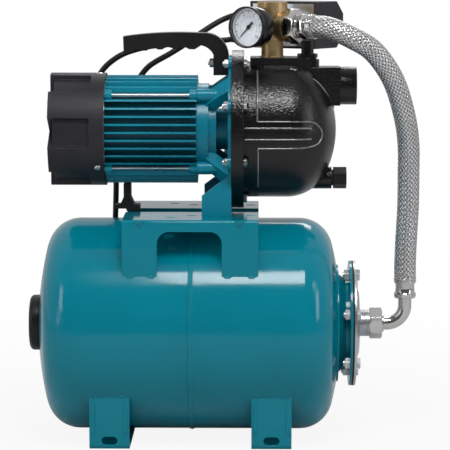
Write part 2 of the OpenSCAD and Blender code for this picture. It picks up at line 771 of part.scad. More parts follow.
module rear_shield() {
    x0 = housing_x - shield_rear_t;
    color("silver") at_motor() difference() {
        union() {
            rod_x(x0 + 4, shield_rear_r, shield_rear_t - 4);
            rod_x(rear_bearing_x - 4, bearing_out + 5, bearing_w + 4);
            round_bolts(rod_offset * sqrt(2), 4, 45) rod_x(x0 + 2, rod_head_r, shield_rear_t - 2);
            round_bolts(cover_r - 9.6, 3, screw_turn) translate([screw_x, 0, -6]) cylinder(r = 5, h = 8.5);
        }
        rod_x(rear_bearing_x, bearing_out, bearing_w + 5);
        rod_x(rear_bearing_x - 5, bearing_inner_out, bearing_w + 5);
        round_bolts(rod_offset * sqrt(2), 4, 45) {
            rod_x(x0 - 1, rod_r + seat, shield_rear_t + 2);
            rod_x(x0 - 4, rod_head_r + rub, 6);
        }
        round_bolts(cover_r - 9.6, 3, screw_turn) translate([screw_x, 0, -4]) cylinder(r = rear_screw_r / 2 + seat, h = 20);
    }
}

module motor_housing() {
    ear = 9;
    color("teal") at_motor() difference() {
        union() {
            rod_x(housing_x, housing_core_r, housing_len);
            intersection() {
                rod_x(housing_x, housing_r, housing_len);
                union() {
                    for (i = [-(fin_count - 1) / 2:(fin_count - 1) / 2]) {
                        translate([housing_x, -housing_r, i * fin_pitch - fin_t / 2])
                            cube([housing_len, 2 * housing_r, fin_t]);
                        translate([housing_x, i * fin_pitch - fin_t / 2, -housing_r])
                            cube([housing_len, fin_t, 2 * housing_r]);
                    }
                }
            }
            for (x = [housing_x + rub, housing_end - ear - rub]) round_bolts(rod_offset * sqrt(2), 4, 45) rod_x(x, 7, ear);
            for (s = [-1, 1]) translate([box_x0 + 10, housing_core_r - 4, s * 20 - 4])
                cube([box_x1 - box_x0 - 20, box_y0 - housing_core_r + 4, 8]);
        }
        rod_x(housing_x - 1, stator_r, housing_len + 2);
        round_bolts(rod_offset * sqrt(2), 4, 45) rod_x(housing_x - 1, rod_r + seat, housing_len + 2);
    }
}

module stator_core() { color("gray") at_motor() tube_x(pack_x, stator_r - seat, stator_bore, pack_len); }

module stator_windings() {
    color("chocolate") at_motor() for (x = [pack_x - coil_len, pack_x + pack_len])
        tube_x(x, stator_r - 4, stator_bore + 4, coil_len);
}

module tie_rods() {
    start = housing_x - shield_rear_t;
    color("silver") at_motor() round_bolts(rod_offset * sqrt(2), 4, 45) {
        rod_x(start, rod_r, housing_end + shield_len - 2 - start);
        rod_x(start - 2, rod_head_r, 4);
    }
}

module motor_bracket() {
    x0 = housing_end;
    flange_x = bracket_face - bracket_t;
    color("teal") at_motor() difference() {
        union() {
            rod_x(x0, shield_r, 14);
            rod_x(x0, 50, shield_len);
            rod_x(x0, 26, flange_x - x0 + 1);
            rod_x(flange_x, bracket_r, bracket_t);
            round_bolts(casing_bolt_circle, casing_bolt_count, 22.5) rod_x(flange_x, 8, bracket_t);
            round_bolts(rod_offset * sqrt(2), 4, 45) rod_x(x0, 8, shield_len + 2);
            for (i = [0:3]) rotate([45 + 90 * i, 0, 0]) rotate([90, 0, 0]) translate([0, 0, -11]) linear_extrude(22)
                polygon([[x0 + 10, 46], [x0 + shield_len - 4, 46], [flange_x + 1, 66], [flange_x + 1, 86],
                    [x0 + shield_len + 2, 73], [x0 + 10, 57]]);
            for (s = [-1, 1]) translate([0, s * cheek_y, 0]) rotate([90, 0, 0]) translate([0, 0, s > 0 ? 0 : -cheek_t])
                linear_extrude(cheek_t) polygon([[cheek_x, -shaft_rise], [bracket_face - 1, -shaft_rise],
                    [bracket_face - 1, cheek_high - shaft_rise], [cheek_x, cheek_low - shaft_rise]]);
            for (s = [-1, 1]) translate([cheek_x, s * cheek_y - (s > 0 ? 28 : 0), -shaft_rise])
                cube([bracket_face - 1 - cheek_x, 28, cheek_t]);
            translate([flange_x, -cheek_y, -shaft_rise]) cube([bracket_t, 2 * cheek_y, shaft_rise - 30]);
        }
        rod_x(front_bearing_x - 5, bearing_out, bearing_w + 5);
        rod_x(x0 - 1, shaft_r + 3, 60);
        rod_x(x0 - 1, 45, 1.5);
        rod_x(bracket_face - 12, 21, 20);
        round_bolts(casing_bolt_circle, casing_bolt_count, 22.5) rod_x(flange_x - 1, m6_hole, bracket_t + 2);
        round_bolts(rod_offset * sqrt(2), 4, 45) rod_x(x0 - 1, rod_r + seat, shield_len);
        translate([0, 0, handle_bolt_rise]) rod_x(flange_x - 1, handle_bolt_r + seat, bracket_t + 2);
        for (s = [-1, 1]) translate([bracket_hole_x, s * bracket_hole_y, -shaft_rise - 1])
            cylinder(r = m8_hole, h = cheek_t + 2);
    }
}

module bearing_outer_rings() {
    color("silver") at_motor() for (x = [rear_bearing_x, front_bearing_x]) translate([x, 0, 0]) revolve_x() difference() {
        translate([bearing_outer_in, 0]) square([bearing_out - seat - bearing_outer_in, bearing_w]);
        translate([bearing_mid, bearing_w / 2]) circle(r = ball_groove);
    }
}

module bearing_balls() {
    color("silver") at_motor() for (x = [rear_bearing_x, front_bearing_x]) for (i = [0:ball_count - 1])
        rotate([360 * i / ball_count, 0, 0]) translate([x + bearing_w / 2, 0, bearing_mid]) sphere(r = ball_r, $fn = 32);
}

// Pump
module seal_plate() {
    x = pump_face + gasket_t;
    color("silver") at_motor() {
        difference() {
            union() {
                rod_x(x, seal_plate_r, seal_plate_t);
                rod_x(x - 8, seal_seat_r + 3, 8 + seal_plate_t);
            }
            rod_x(x - 6, seal_seat_r + seat, 20);
            rod_x(x - 9, seal_bore, 20);
        }
    }
}

module casing_gasket() {
    color("black") at_motor() tube_x(pump_face, seal_plate_r, 70, gasket_t);
}

module seal_seat() { color("ivory") at_motor() tube_x(pump_face + gasket_t - 6, seal_seat_r, seal_bore, 6); }

function casing_outline(d, start) = concat([[0, start], [casing_r - d, start]],
    head_outline(casing_r - d, nose_crown - d, nose_knuckle - d, casing_barrel, 1, 14),
    [[0, casing_barrel + nose_h - d]]);

module casing_rib(z, w, x1) {
    intersection() {
        revolve_x() polygon(casing_outline(-3, pump_face + ring_t - 1));
        translate([pump_face + ring_t - 1, -casing_r - 4, z - w / 2]) cube([x1 - pump_face - ring_t, 30, w]);
    }
}

module pump_casing() {
    ring_x = pump_face;
    pocket = gasket_t + seal_plate_t;
    color([0.12, 0.12, 0.13]) at_motor() difference() {
        union() {
            rod_x(ring_x, ring_r, ring_t);
            revolve_x() polygon(casing_outline(0, ring_x + ring_t - 2));
            for (z = [-8, 6]) casing_rib(z, 4, 154);
            intersection() {
                revolve_x() polygon(casing_outline(-2.5, ring_x + ring_t - 1));
                translate([82, -casing_r - 4, 15]) cube([70, 60, 62]);
            }
            translate([pad_x0, -pad_half_y, 40]) cube([pad_x1 - pad_x0, 2 * pad_half_y, pad_rise - 40]);
            translate([pad_x1 - 1, -pad_half_y, 40])
                cube([shoulder_x - pad_x1 + 1, 2 * pad_half_y, pad_rise - shoulder_drop - 40]);
            translate([plug_x, plug_y, 60]) cylinder(r = plug_flange_r + 2, h = pad_rise - plug_pad_drop - 60);
            translate([pad_x1 - 10, -suction_block / 2, suction_rise - suction_block / 2])
                cube([187 - pad_x1 + 10, suction_block, suction_block]);
            translate([0, 0, suction_rise]) rod_x(150, suction_r, suction_mouth - 150);
            translate([0, 0, -drain_drop]) rod_x(120, 14, drain_mouth - 120);
        }
        difference() {
            revolve_x() polygon(casing_outline(casing_wall, ring_x + pocket));
            rod_x(venturi_end - socket_len, socket_r, 40);
        }
        rod_x(ring_x - 1, seal_plate_r + 0.2, pocket + 1 + eps);
        rod_x(venturi_end - socket_len - 1, venturi_r + seat, socket_len + 1);
        round_bolts(casing_bolt_circle, casing_bolt_count, 22.5) rod_x(ring_x - 1, m6_hole, ring_t + 2);
        round_bolts(casing_bolt_circle, casing_bolt_count, 22.5) rod_x(ring_x + ring_t, 8, m6_head + 2);
        translate([0, 0, suction_rise]) {
            rod_x(suction_mouth - suction_depth, suction_bore, suction_depth + 1);
            rod_x(145, suction_bore - 2, suction_mouth - 145);
        }
        translate([fitting_x, 0, 40]) cylinder(r = nipple_r, h = 80);
        translate([plug_x, plug_y, 40]) cylinder(r = plug_bore, h = 80);
        translate([0, 0, -drain_drop]) rod_x(120, drain_bore, 80);
        plug_seat_cut();
    }
}

// Room above the priming plug's pad, which lies lower than the discharge pad
module plug_seat_cut() {
    translate([plug_x, plug_y, pad_rise - plug_pad_drop]) cylinder(r = plug_flange_r + 1, h = 10);
}

module casing_bolts() {
    start = bracket_face - bracket_t - m6_nut - 2;
    color("silver") at_motor() round_bolts(casing_bolt_circle, casing_bolt_count, 22.5) {
        rod_x(start, m6_shank, pump_face + ring_t - start);
        hex_x(pump_face + ring_t, m6_flats, m6_head);
        difference() {
            hex_x(bracket_face - bracket_t - m6_nut, m6_flats, m6_nut);
            rod_x(start - 1, m6_shank + seat, m6_nut + 4);
        }
    }
}

module diffuser() {
    x = pump_face + gasket_t + seal_plate_t;
    color("whitesmoke") at_motor() revolve_x() polygon([[diffuser_r, x], [diffuser_r, x + diffuser_len - 4],
        [diffuser_r - 4, x + diffuser_len], [eye_r + 3, x + diffuser_len], [eye_r + 3, venturi_x + 8],
        [venturi_r + seat, venturi_x + 8],
        [venturi_r + seat, x + diffuser_len - diffuser_wall], [diffuser_r - 6, x + diffuser_len - diffuser_wall],
        [diffuser_r - diffuser_wall, x + diffuser_len - 6], [diffuser_r - diffuser_wall, x]]);
}

module venturi() {
    x = venturi_x - 6;
    color("whitesmoke") at_motor() revolve_x() polygon([[venturi_r, x], [venturi_r, x + 14], [venturi_r - 3, x + 18],
        [venturi_r - 3, venturi_end - 30], [venturi_r, venturi_end - 20], [venturi_r, venturi_end], [9, venturi_end],
        [5, venturi_end - 30], [10, x]]);
}

// Rotor: everything here turns with the shaft
module shaft() {
    color("silver") at_motor() revolve_x() polygon([[0, shaft_start], [shaft_nose_r, shaft_start],
        [shaft_nose_r, rear_bearing_x - 2],
        [shaft_r, rear_bearing_x - 2], [shaft_r, rear_bearing_x + bearing_w], [9, rear_bearing_x + bearing_w],
        [9, front_bearing_x], [shaft_r, front_bearing_x], [shaft_r, impeller_x], [shaft_nose_r, impeller_x],
        [shaft_nose_r, shaft_end], [0, shaft_end]]);
}

module rotor_core() { color("gray") at_motor() tube_x(pack_x, rotor_r, 9, pack_len); }

module bearing_inner_rings() {
    color("silver") at_motor() for (x = [rear_bearing_x, front_bearing_x]) translate([x, 0, 0]) revolve_x() difference() {
        translate([shaft_r, 0]) square([bearing_inner_out - rub - shaft_r, bearing_w]);
        translate([bearing_mid, bearing_w / 2]) circle(r = ball_groove);
    }
}

module fan() {
    color("black") at_motor() difference() {
        union() {
            rod_x(fan_x, 13, fan_hub);
            rod_x(fan_x + fan_hub - 3, fan_r - 6, 3);
            for (i = [0:fan_blades - 1]) rotate([360 * i / fan_blades, 0, 0]) translate([fan_x, -1.2, 9])
                cube([fan_hub, 2.4, fan_r - 9.5]);
        }
        rod_x(fan_x - 1, shaft_nose_r, fan_hub + 2);
    }
}

module seal_head() {
    x = pump_face + gasket_t + rub;
    color("dimgray") at_motor() tube_x(x, seal_seat_r - 2, shaft_r, impeller_x - x);
}

module impeller() {
    color("goldenrod") at_motor() difference() {
        union() {
            rod_x(impeller_x, impeller_r, 2.5);
            tube_x(impeller_x + impeller_w - 2.5, impeller_r, eye_r, 2.5);
            rod_x(impeller_x, 10, impeller_w + 5);
            for (i = [0:5]) rotate([60 * i, 0, 0]) translate([impeller_x + 2, -1, 9]) rotate([-25, 0, 0])
                cube([impeller_w - 4, 2.5, impeller_r - 15]);
        }
        rod_x(impeller_x - 1, shaft_nose_r, impeller_w + 10);
    }
}

// Screw plugs: each turns and backs out together with the sealing ring under its head
module drain_plug() {
    color("black") at_motor() translate([0, 0, -drain_drop]) {
        rod_x(drain_mouth - drain_depth, drain_bore - running, drain_depth + 3);
        hex_x(drain_mouth + 2, 2 * drain_head_r * 0.86, drain_head_len);
    }
}

module drain_seal() {
    color("dimgray") at_motor() translate([0, 0, -drain_drop]) tube_x(drain_mouth, 10, drain_bore, 2);
}

module at_plug() { translate([seam_x + plug_x, plug_y, pad_z - plug_pad_drop]) children(); }

module priming_plug() {
    color("black") at_plug() {
        translate([0, 0, -12]) cylinder(r = plug_bore - running, h = 15);
        translate([0, 0, 2]) cylinder(r = plug_flange_r, h = 5, $fn = 8);
        translate([0, 0, 6]) cylinder(r = 8, h = 17, $fn = 6);
    }
}

module priming_seal() {
    color("dimgray") at_plug() difference() {
        cylinder(r = 11.5, h = 2);
        translate([0, 0, -1]) cylinder(r = plug_bore, h = 4);
    }
}

// Carry handle: a side outline, swept across the handle's width
module handle() {
    centre = [-16, handle_top - handle_arc_r - motor_z];
    a0 = acos((handle_x0 - centre[0]) / handle_arc_r);
    a1 = acos((12 - centre[0]) / handle_arc_r);
    under = handle_arc_r - grip_h;
    color([0.15, 0.15, 0.16]) at_motor() difference() {
        rotate([90, 0, 0]) translate([0, 0, -handle_w / 2]) linear_extrude(handle_w)
            polygon(concat(arc(centre, handle_arc_r, a0, a1, 8), arc([16, handle_top - motor_z - 31], 30.3, 84, 4, 8),
                [[block_x1, block_bottom], [block_x0, block_bottom], [block_x0, block_top - 10]],
                arc([8, block_top - 18], 21, 22, 80, 4), reversed(arc(centre, under, a0 + 0.3, a1 + 0.9, 8))));
        for (i = [0:3]) translate([-68 + 19 * i, 0, centre[1] + under - 8.6 - pow(-52 + 19 * i, 2) / 960]) rotate([90, 0, 0])
            cylinder(r = 11, h = handle_w + 2, center = true);
        translate([block_x0 - 1, 0, handle_bolt_rise]) rotate([0, 90, 0]) cylinder(r = handle_bolt_r + seat, h = 40);
    }
}

// Terminal box on the motor's back
module terminal_box() {
    w = box_x1 - box_x0;
    color("black") at_motor() difference() {
        union() {
            translate([box_x0, box_y0, -box_half_h]) cube([w, box_depth, 2 * box_half_h]);
            translate([gland_box_x, box_y0 + 14, box_half_h - 1]) cylinder(r = gland_r, h = 14);
        }
        translate([box_x0 + box_wall, box_y0 + box_wall, box_wall - box_half_h])
            cube([w - 2 * box_wall, box_depth, 2 * (box_half_h - box_wall)]);
    }
    color("lightgray") at_motor() translate([box_x0 + 16, box_y0 + box_wall + capacitor_r, -8])
        rod_x(0, capacitor_r, 46);
}

module terminal_lid() {
    w = box_x1 - box_x0;
    color("black") at_motor() translate([box_x0, box_y0 + box_depth, -box_half_h]) cube([w, lid_t, 2 * box_half_h]);
}

// Five-way fitting and what screws into it. Local +X is the hose port's way
module at_fitting() { translate([seam_x + fitting_x, 0, pad_z]) rotate([0, 0, -fitting_turn]) children(); }
module at_ports() { at_fitting() translate([0, 0, port_rise]) children(); }
module at_gauge() { at_ports() rotate([0, 0, -90]) children(); }
module at_switch() { at_ports() rotate([0, 0, 90]) children(); }

module five_way_fitting() {
    color("goldenrod") at_fitting() difference() {
        union() {
            translate([0, 0, -14]) cylinder(r = nipple_r - seat, h = 14);
            cylinder(r = neck_visible_r + 1.5, h = 1.5);
            cylinder(r = neck_visible_r, h = 30);
            translate([0, 0, port_rise - 17]) cylinder(r1 = neck_visible_r, r2 = port_r - 1, h = 8);
            translate([0, 0, port_rise - 9]) cylinder(r = port_r - 1, h = 22);
            translate([0, 0, fitting_rise - 19]) cylinder(r = port_r, h = 19);
            translate([0, 0, port_rise]) {
                rod_x(0, port_r - 2, port_reach - 8);
                rod_x(port_reach - 9, port_r, 9);
                for (a = [-90, 90]) rotate([0, 0, a]) rod_x(0, small_port_r, small_port_reach);
            }
        }
        translate([0, 0, fitting_rise - discharge_depth]) cylinder(r = discharge_bore, h = discharge_depth + 1);
        translate([0, 0, -15]) cylinder(r = 11, h = fitting_rise);
        translate([0, 0, port_rise]) {
            rod_x(0, 11, 40);
            rod_x(port_reach - 8.5, discharge_bore, 20);
            for (a = [-90, 90]) rotate([0, 0, a]) {
                rod_x(0, 4, 40);
                rod_x(small_port_reach - 10, thread_r, 20);
            }
        }
    }
}

module gauge_case() {
    back = gauge_reach - gauge_depth;
    color("black") at_gauge() difference() {
        union() {
            rod_x(back, gauge_r - 1, gauge_depth - 6);
            rod_x(gauge_reach - 7, gauge_r, 7);
        }
        rod_x(gauge_reach - 8, gauge_r - gauge_wall, 10);
        rod_x(back + gauge_wall, gauge_r - 1 - gauge_wall, gauge_depth);
        rod_x(back - 1, thread_r, 10);
    }
    color("goldenrod") at_gauge() difference() {
        union() {
            rod_x(small_port_reach - 9, thread_r - seat, back + 8 - small_port_reach + 9);
            hex_x(small_port_reach, 14, back - small_port_reach);
            rod_x(back + gauge_wall, 8, 12);
        }
        rod_x(0, 1.5, gauge_reach - 5);
    }
}

module gauge_dial() {
    color("white") at_gauge() tube_x(gauge_reach - 9, dial_r, gauge_pin_r + running, 1);
}

module gauge_needle() {
    x = gauge_reach - 7.5;
    color("black") at_gauge() {
        rod_x(x - 6, gauge_pin_r, 7);
        rod_x(x, 2.5, 1);
        rotate([zero_angle, 0, 0]) translate([x, 0, 0]) rotate([90, 0, 90]) linear_extrude(0.8)
            polygon([[-0.4, needle_len], [0.4, needle_len], [1, 0], [1.4, -8], [-1.4, -8], [-1, 0]]);
    }
}

module gauge_glass() {
    color([0.8, 0.9, 1, 0.4]) at_gauge() rod_x(gauge_reach - 4, gauge_r - gauge_wall, 2);
}

// Pressure switch. Local +X runs from the fitting to the switch, and local Y along the cover
module switch_base() {
    half = switch_len / 2 - switch_wall - rub;
    high = switch_h - 2 * (switch_wall + rub);
    x = small_port_reach;
    color("silver") at_switch() difference() {
        union() {
            rod_x(x - 9, thread_r - seat, 10);
            hex_x(x, 19, switch_hex_len);
            rod_x(x + switch_hex_len, diaphragm_r, diaphragm_len);
            translate([switch_reach, -switch_shift - half, -high / 2]) cube([base_t, 2 * half, high]);
            for (z = [-10, 6]) translate([switch_reach, lever_arm - 5, z]) cube([lever_pin_x + 5 - switch_reach, 10, 4]);
            for (y = [-20, 12]) translate([0, y, -14]) rod_x(switch_reach + base_t - 1, 2, 46);
        }
        rod_x(x - 10, 3, 20);
        rod_x(x + 5, plunger_r + running, 60);
        translate([lever_pin_x, lever_arm, -20]) cylinder(r = lever_pin_r + running, h = 40);
    }
    color("ivory") at_switch() translate([switch_reach + base_t, half - switch_shift - 17, -24]) cube([24, 14, 48]);
}

module switch_plunger() {
    top = switch_reach + base_t + 4;
    color("goldenrod") at_switch() rod_x(top - plunger_len, plunger_r, plunger_len);
}

module switch_lever() {
    color("gainsboro") at_switch() {
        translate([lever_x, lever_arm - lever_len, -5.7]) cube([lever_t, lever_len, 11.4]);
        translate([lever_pin_x, lever_arm, -11]) cylinder(r = lever_pin_r, h = 22);
    }
}

module switch_springs() {
    x = switch_reach + base_t;
    color("silver") at_switch() for (y = [-20, 12]) translate([0, y, -14]) tube_x(x, spring_r, spring_r - 2, 34);
}

module switch_cover() {
    half = switch_len / 2;
    h = switch_h / 2;
    cut = 16;
    color([0.13, 0.13, 0.14]) at_switch() translate([switch_reach - cover_lap, -switch_shift, 0]) {
        difference() {
            rotate([90, 0, 0]) translate([0, 0, -half]) linear_extrude(2 * half)
                polygon([[0, -h], [switch_depth - cut, -h], [switch_depth, cut - h], [switch_depth, h - cut],
                    [switch_depth - cut, h], [0, h]]);
            translate([-1, switch_wall - half, 0]) rotate([90, 0, 0]) translate([0, 0, -2 * (half - switch_wall)])
                linear_extrude(2 * (half - switch_wall)) polygon([[0, switch_wall - h], [switch_depth - cut, switch_wall - h],
                    [switch_depth - switch_wall, cut - h + switch_wall], [switch_depth - switch_wall, h - cut - switch_wall],
                    [switch_depth - cut, h - switch_wall], [0, h - switch_wall]]);
        }
        for (z = [upper_gland, lower_gland]) translate([gland_depth, half - 1, z]) rotate([-90, 0, 0])
            cylinder(r = gland_r, h = gland_len);
    }
}

// Hose and its metal ends
module hose_fittings() {
    color("silver") at_ports() {
        rod_x(port_reach - 8, discharge_bore - seat, 8);
        rod_x(port_reach, port_r - 1, 2);
        hex_x(port_reach + 2, union_flats, union_len - 4);
        rod_x(port_reach + union_len - 3, 14, 4);
        hex_x(port_reach + union_len, tail_flats, tail_len - 3);
        rod_x(port_reach + union_len + tail_len - 4, 11, 5);
        rod_x(port_reach + union_len + tail_len, ferrule_r, ferrule_len);
    }
    color("silver") at_tank() {
        elbow_start = elbow_x - elbow_bend;
        difference() {
            union() {
                hex_x(nipple_end - 14, 35, 17);
                rod_x(nipple_end + 1, elbow_r + 2, 4);
            }
            rod_x(nipple_end - 15, nipple_r + seat, 15.1);
        }
        rod_x(nipple_end + 2, elbow_r, elbow_start - nipple_end - 2 + eps);
        translate([elbow_start, 0, elbow_bend]) rotate([-90, 0, 0]) rotate_extrude(angle = 90)
            translate([elbow_bend, 0]) circle(r = elbow_r);
        translate([elbow_x, 0, elbow_bend - eps]) cylinder(r = elbow_r, h = 14);
        translate([elbow_x, 0, 0]) rotate_extrude() polygon([[0, 34], [13, 34], [14, 36], [14, 40], [12.5, 45],
            [12.5, 52], [14.5, 57], [14.5, 60], [0, 60]]);
    }
}

module hose() {
    color("lightgray") translate([seam_x, 0, 0]) sweep(path(hose_route, 3), hose_r, 12, [0, 1, 0]);
}

module motor_lead() {
    color("black") translate([seam_x, 0, 0]) sweep(path(motor_lead_route, 2), lead_r, 8, [0, 0, 1]);
}

module mains_lead() {
    color("black") translate([seam_x, 0, 0]) sweep(path(mains_route, 2), lead_r, 8, [0, 0, 1]);
}

// The rest of the mains lead, wound up on the floor behind the tank
module mains_coil() {
    color("black") translate([seam_x + coil_x, coil_y, 0]) rotate_extrude() translate([coil_mid - lead_r, 0])
        square([2 * lead_r, coil_h]);
}

module mains_plug() {
    tip = plug_tip_y - plug_relief;
    color("black") translate([seam_x + coil_x + coil_mid, 0, plug_body_r]) rotate([90, 0, 0]) {
        translate([0, 0, -plug_tip_y]) cylinder(r1 = lead_r + 0.6, r2 = 8, h = plug_relief + 1);
        translate([0, 0, -tip]) cylinder(r = plug_body_r, h = plug_body_len);
        for (s = [-1, 1]) translate([s * 9.5, 0, plug_body_len - tip - 1]) cylinder(r = plug_pin_r, h = plug_pin_len + 1);
    }
}

tank_shell_left();
tank_shell_right();
tank_neck();
bladder();
counter_flange();
flange_bolts();
air_valve();
valve_pin();
valve_cap();
foot_left();
foot_right();
platform();
mounting_bolts();
motor_rest();
fan_cover();
fan_cover_screws();
rear_shield();
motor_housing();
stator_core();
stator_windings();
tie_rods();
motor_bracket();
bearing_outer_rings();
bearing_balls();
seal_plate();
casing_gasket();
pump_casing();
casing_bolts();
diffuser();
venturi();
seal_seat();
shaft();
rotor_core();
bearing_inner_rings();
fan();
seal_head();
impeller();
drain_plug();
drain_seal();
priming_plug();
priming_seal();
handle();
terminal_box();
terminal_lid();
five_way_fitting();
gauge_case();
gauge_dial();
gauge_glass();
gauge_needle();
switch_base();
switch_springs();
switch_plunger();
switch_lever();
switch_cover();
hose_fittings();
hose();
motor_lead();
mains_lead();
mains_coil();
mains_plug();
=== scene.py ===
"""Finishes and fine detail of a jet pump booster set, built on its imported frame."""
from __future__ import annotations

import json
import logging
import math
from dataclasses import dataclass
from enum import Enum
from typing import Sequence

import bpy
from mathutils import Matrix, Vector

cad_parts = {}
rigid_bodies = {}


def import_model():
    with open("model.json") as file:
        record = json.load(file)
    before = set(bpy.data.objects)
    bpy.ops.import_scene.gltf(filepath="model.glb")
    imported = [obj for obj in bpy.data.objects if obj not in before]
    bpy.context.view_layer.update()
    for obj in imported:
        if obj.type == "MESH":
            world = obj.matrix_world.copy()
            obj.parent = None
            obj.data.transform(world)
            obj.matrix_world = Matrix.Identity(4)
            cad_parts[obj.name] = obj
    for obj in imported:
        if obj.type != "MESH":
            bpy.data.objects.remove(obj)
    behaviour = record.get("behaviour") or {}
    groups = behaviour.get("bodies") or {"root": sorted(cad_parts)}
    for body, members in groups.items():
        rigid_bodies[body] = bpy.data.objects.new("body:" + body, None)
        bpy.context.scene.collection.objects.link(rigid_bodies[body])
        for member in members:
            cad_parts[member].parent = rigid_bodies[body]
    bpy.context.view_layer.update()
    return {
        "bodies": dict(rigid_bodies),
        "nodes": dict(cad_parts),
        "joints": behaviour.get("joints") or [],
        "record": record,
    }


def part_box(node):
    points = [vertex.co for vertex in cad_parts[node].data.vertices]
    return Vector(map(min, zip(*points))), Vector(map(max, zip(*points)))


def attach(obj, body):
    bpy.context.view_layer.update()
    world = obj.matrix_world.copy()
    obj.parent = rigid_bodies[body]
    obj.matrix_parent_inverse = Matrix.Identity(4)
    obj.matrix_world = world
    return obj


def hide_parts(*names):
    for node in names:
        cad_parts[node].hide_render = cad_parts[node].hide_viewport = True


LOG = logging.getLogger("booster")
MM = 0.001
Colour = tuple[float, float, float]
Point = tuple[float, float, float]
Profile = Sequence[tuple[float, float]]
Socket = bpy.types.NodeSocket
Piece = bpy.types.Object
ORIGIN: Point = (0.0, 0.0, 0.0)
EVEN: Point = (1.0, 1.0, 1.0)
WHITE = (1.0, 1.0, 1.0, 1.0)
MERGE = 1e-6
FINE_MERGE = 1e-7


class Axis(Enum):
    """Row axes that a turned or pressed shape can follow."""

    X = (1.0, 0.0, 0.0)
    Y = (0.0, 1.0, 0.0)
    Z = (0.0, 0.0, 1.0)


class Pattern(Enum):
    """Height patterns that a finish can carry."""

    NOISE = "noise"
    CELLS = "cells"
    LINES = "lines"


@dataclass(frozen=True)
class Stations:
    """Where the groups of the set stand, in millimetres."""

    seam_x: float = -40.0
    tank_r: float = 135.0
    tank_z: float = 142.0
    platform_z: float = 287.5
    motor_z: float = 391.5
    port_z: float = 522.1
    fitting_x: float = 101.3
    fitting_turn: float = 33.0

    def place(self, x: float, y: float, z: float) -> Vector:
        """Returns a point given from the weld seam as one in the row frame, in metres."""
        return Vector((x + self.seam_x, y, z)) * MM

    def route(self, base: float, *points: Point) -> list[Vector]:
        """Returns points given from the weld seam, with their heights above a base."""
        return [self.place(x, y, base + z) for x, y, z in points]

    def from_ports(self, u: float, v: float, up: float) -> Vector:
        """Point at u towards the switch and v along it from the port centre.

        Args:
            u: Distance from the fitting's axis towards the switch.
            v: Distance along the switch towards its glands.
            up: Height above the side ports.

        Returns:
            The point in the row frame, in metres.
        """
        turn = math.radians(self.fitting_turn)
        return self.place(
            self.fitting_x + u * math.sin(turn) - v * math.cos(turn),
            u * math.cos(turn) + v * math.sin(turn),
            self.port_z + up,
        )

    def ports_frame(self, degrees: float) -> Matrix:
        """Returns the frame of a side port, turned from the hose's way, in metres."""
        turn = Matrix.Rotation(math.radians(degrees - self.fitting_turn), 4, "Z")
        return Matrix.Translation(self.place(self.fitting_x, 0, self.port_z)) @ turn

    def round_tank(self, x: float, gap: float, angle: float) -> Vector:
        """Returns a point at a gap off the barrel, at an angle above the horizontal."""
        turn = math.radians(angle)
        reach = self.tank_r + gap
        return self.place(x, reach * math.cos(turn), self.tank_z + reach * math.sin(turn))


SET = Stations()


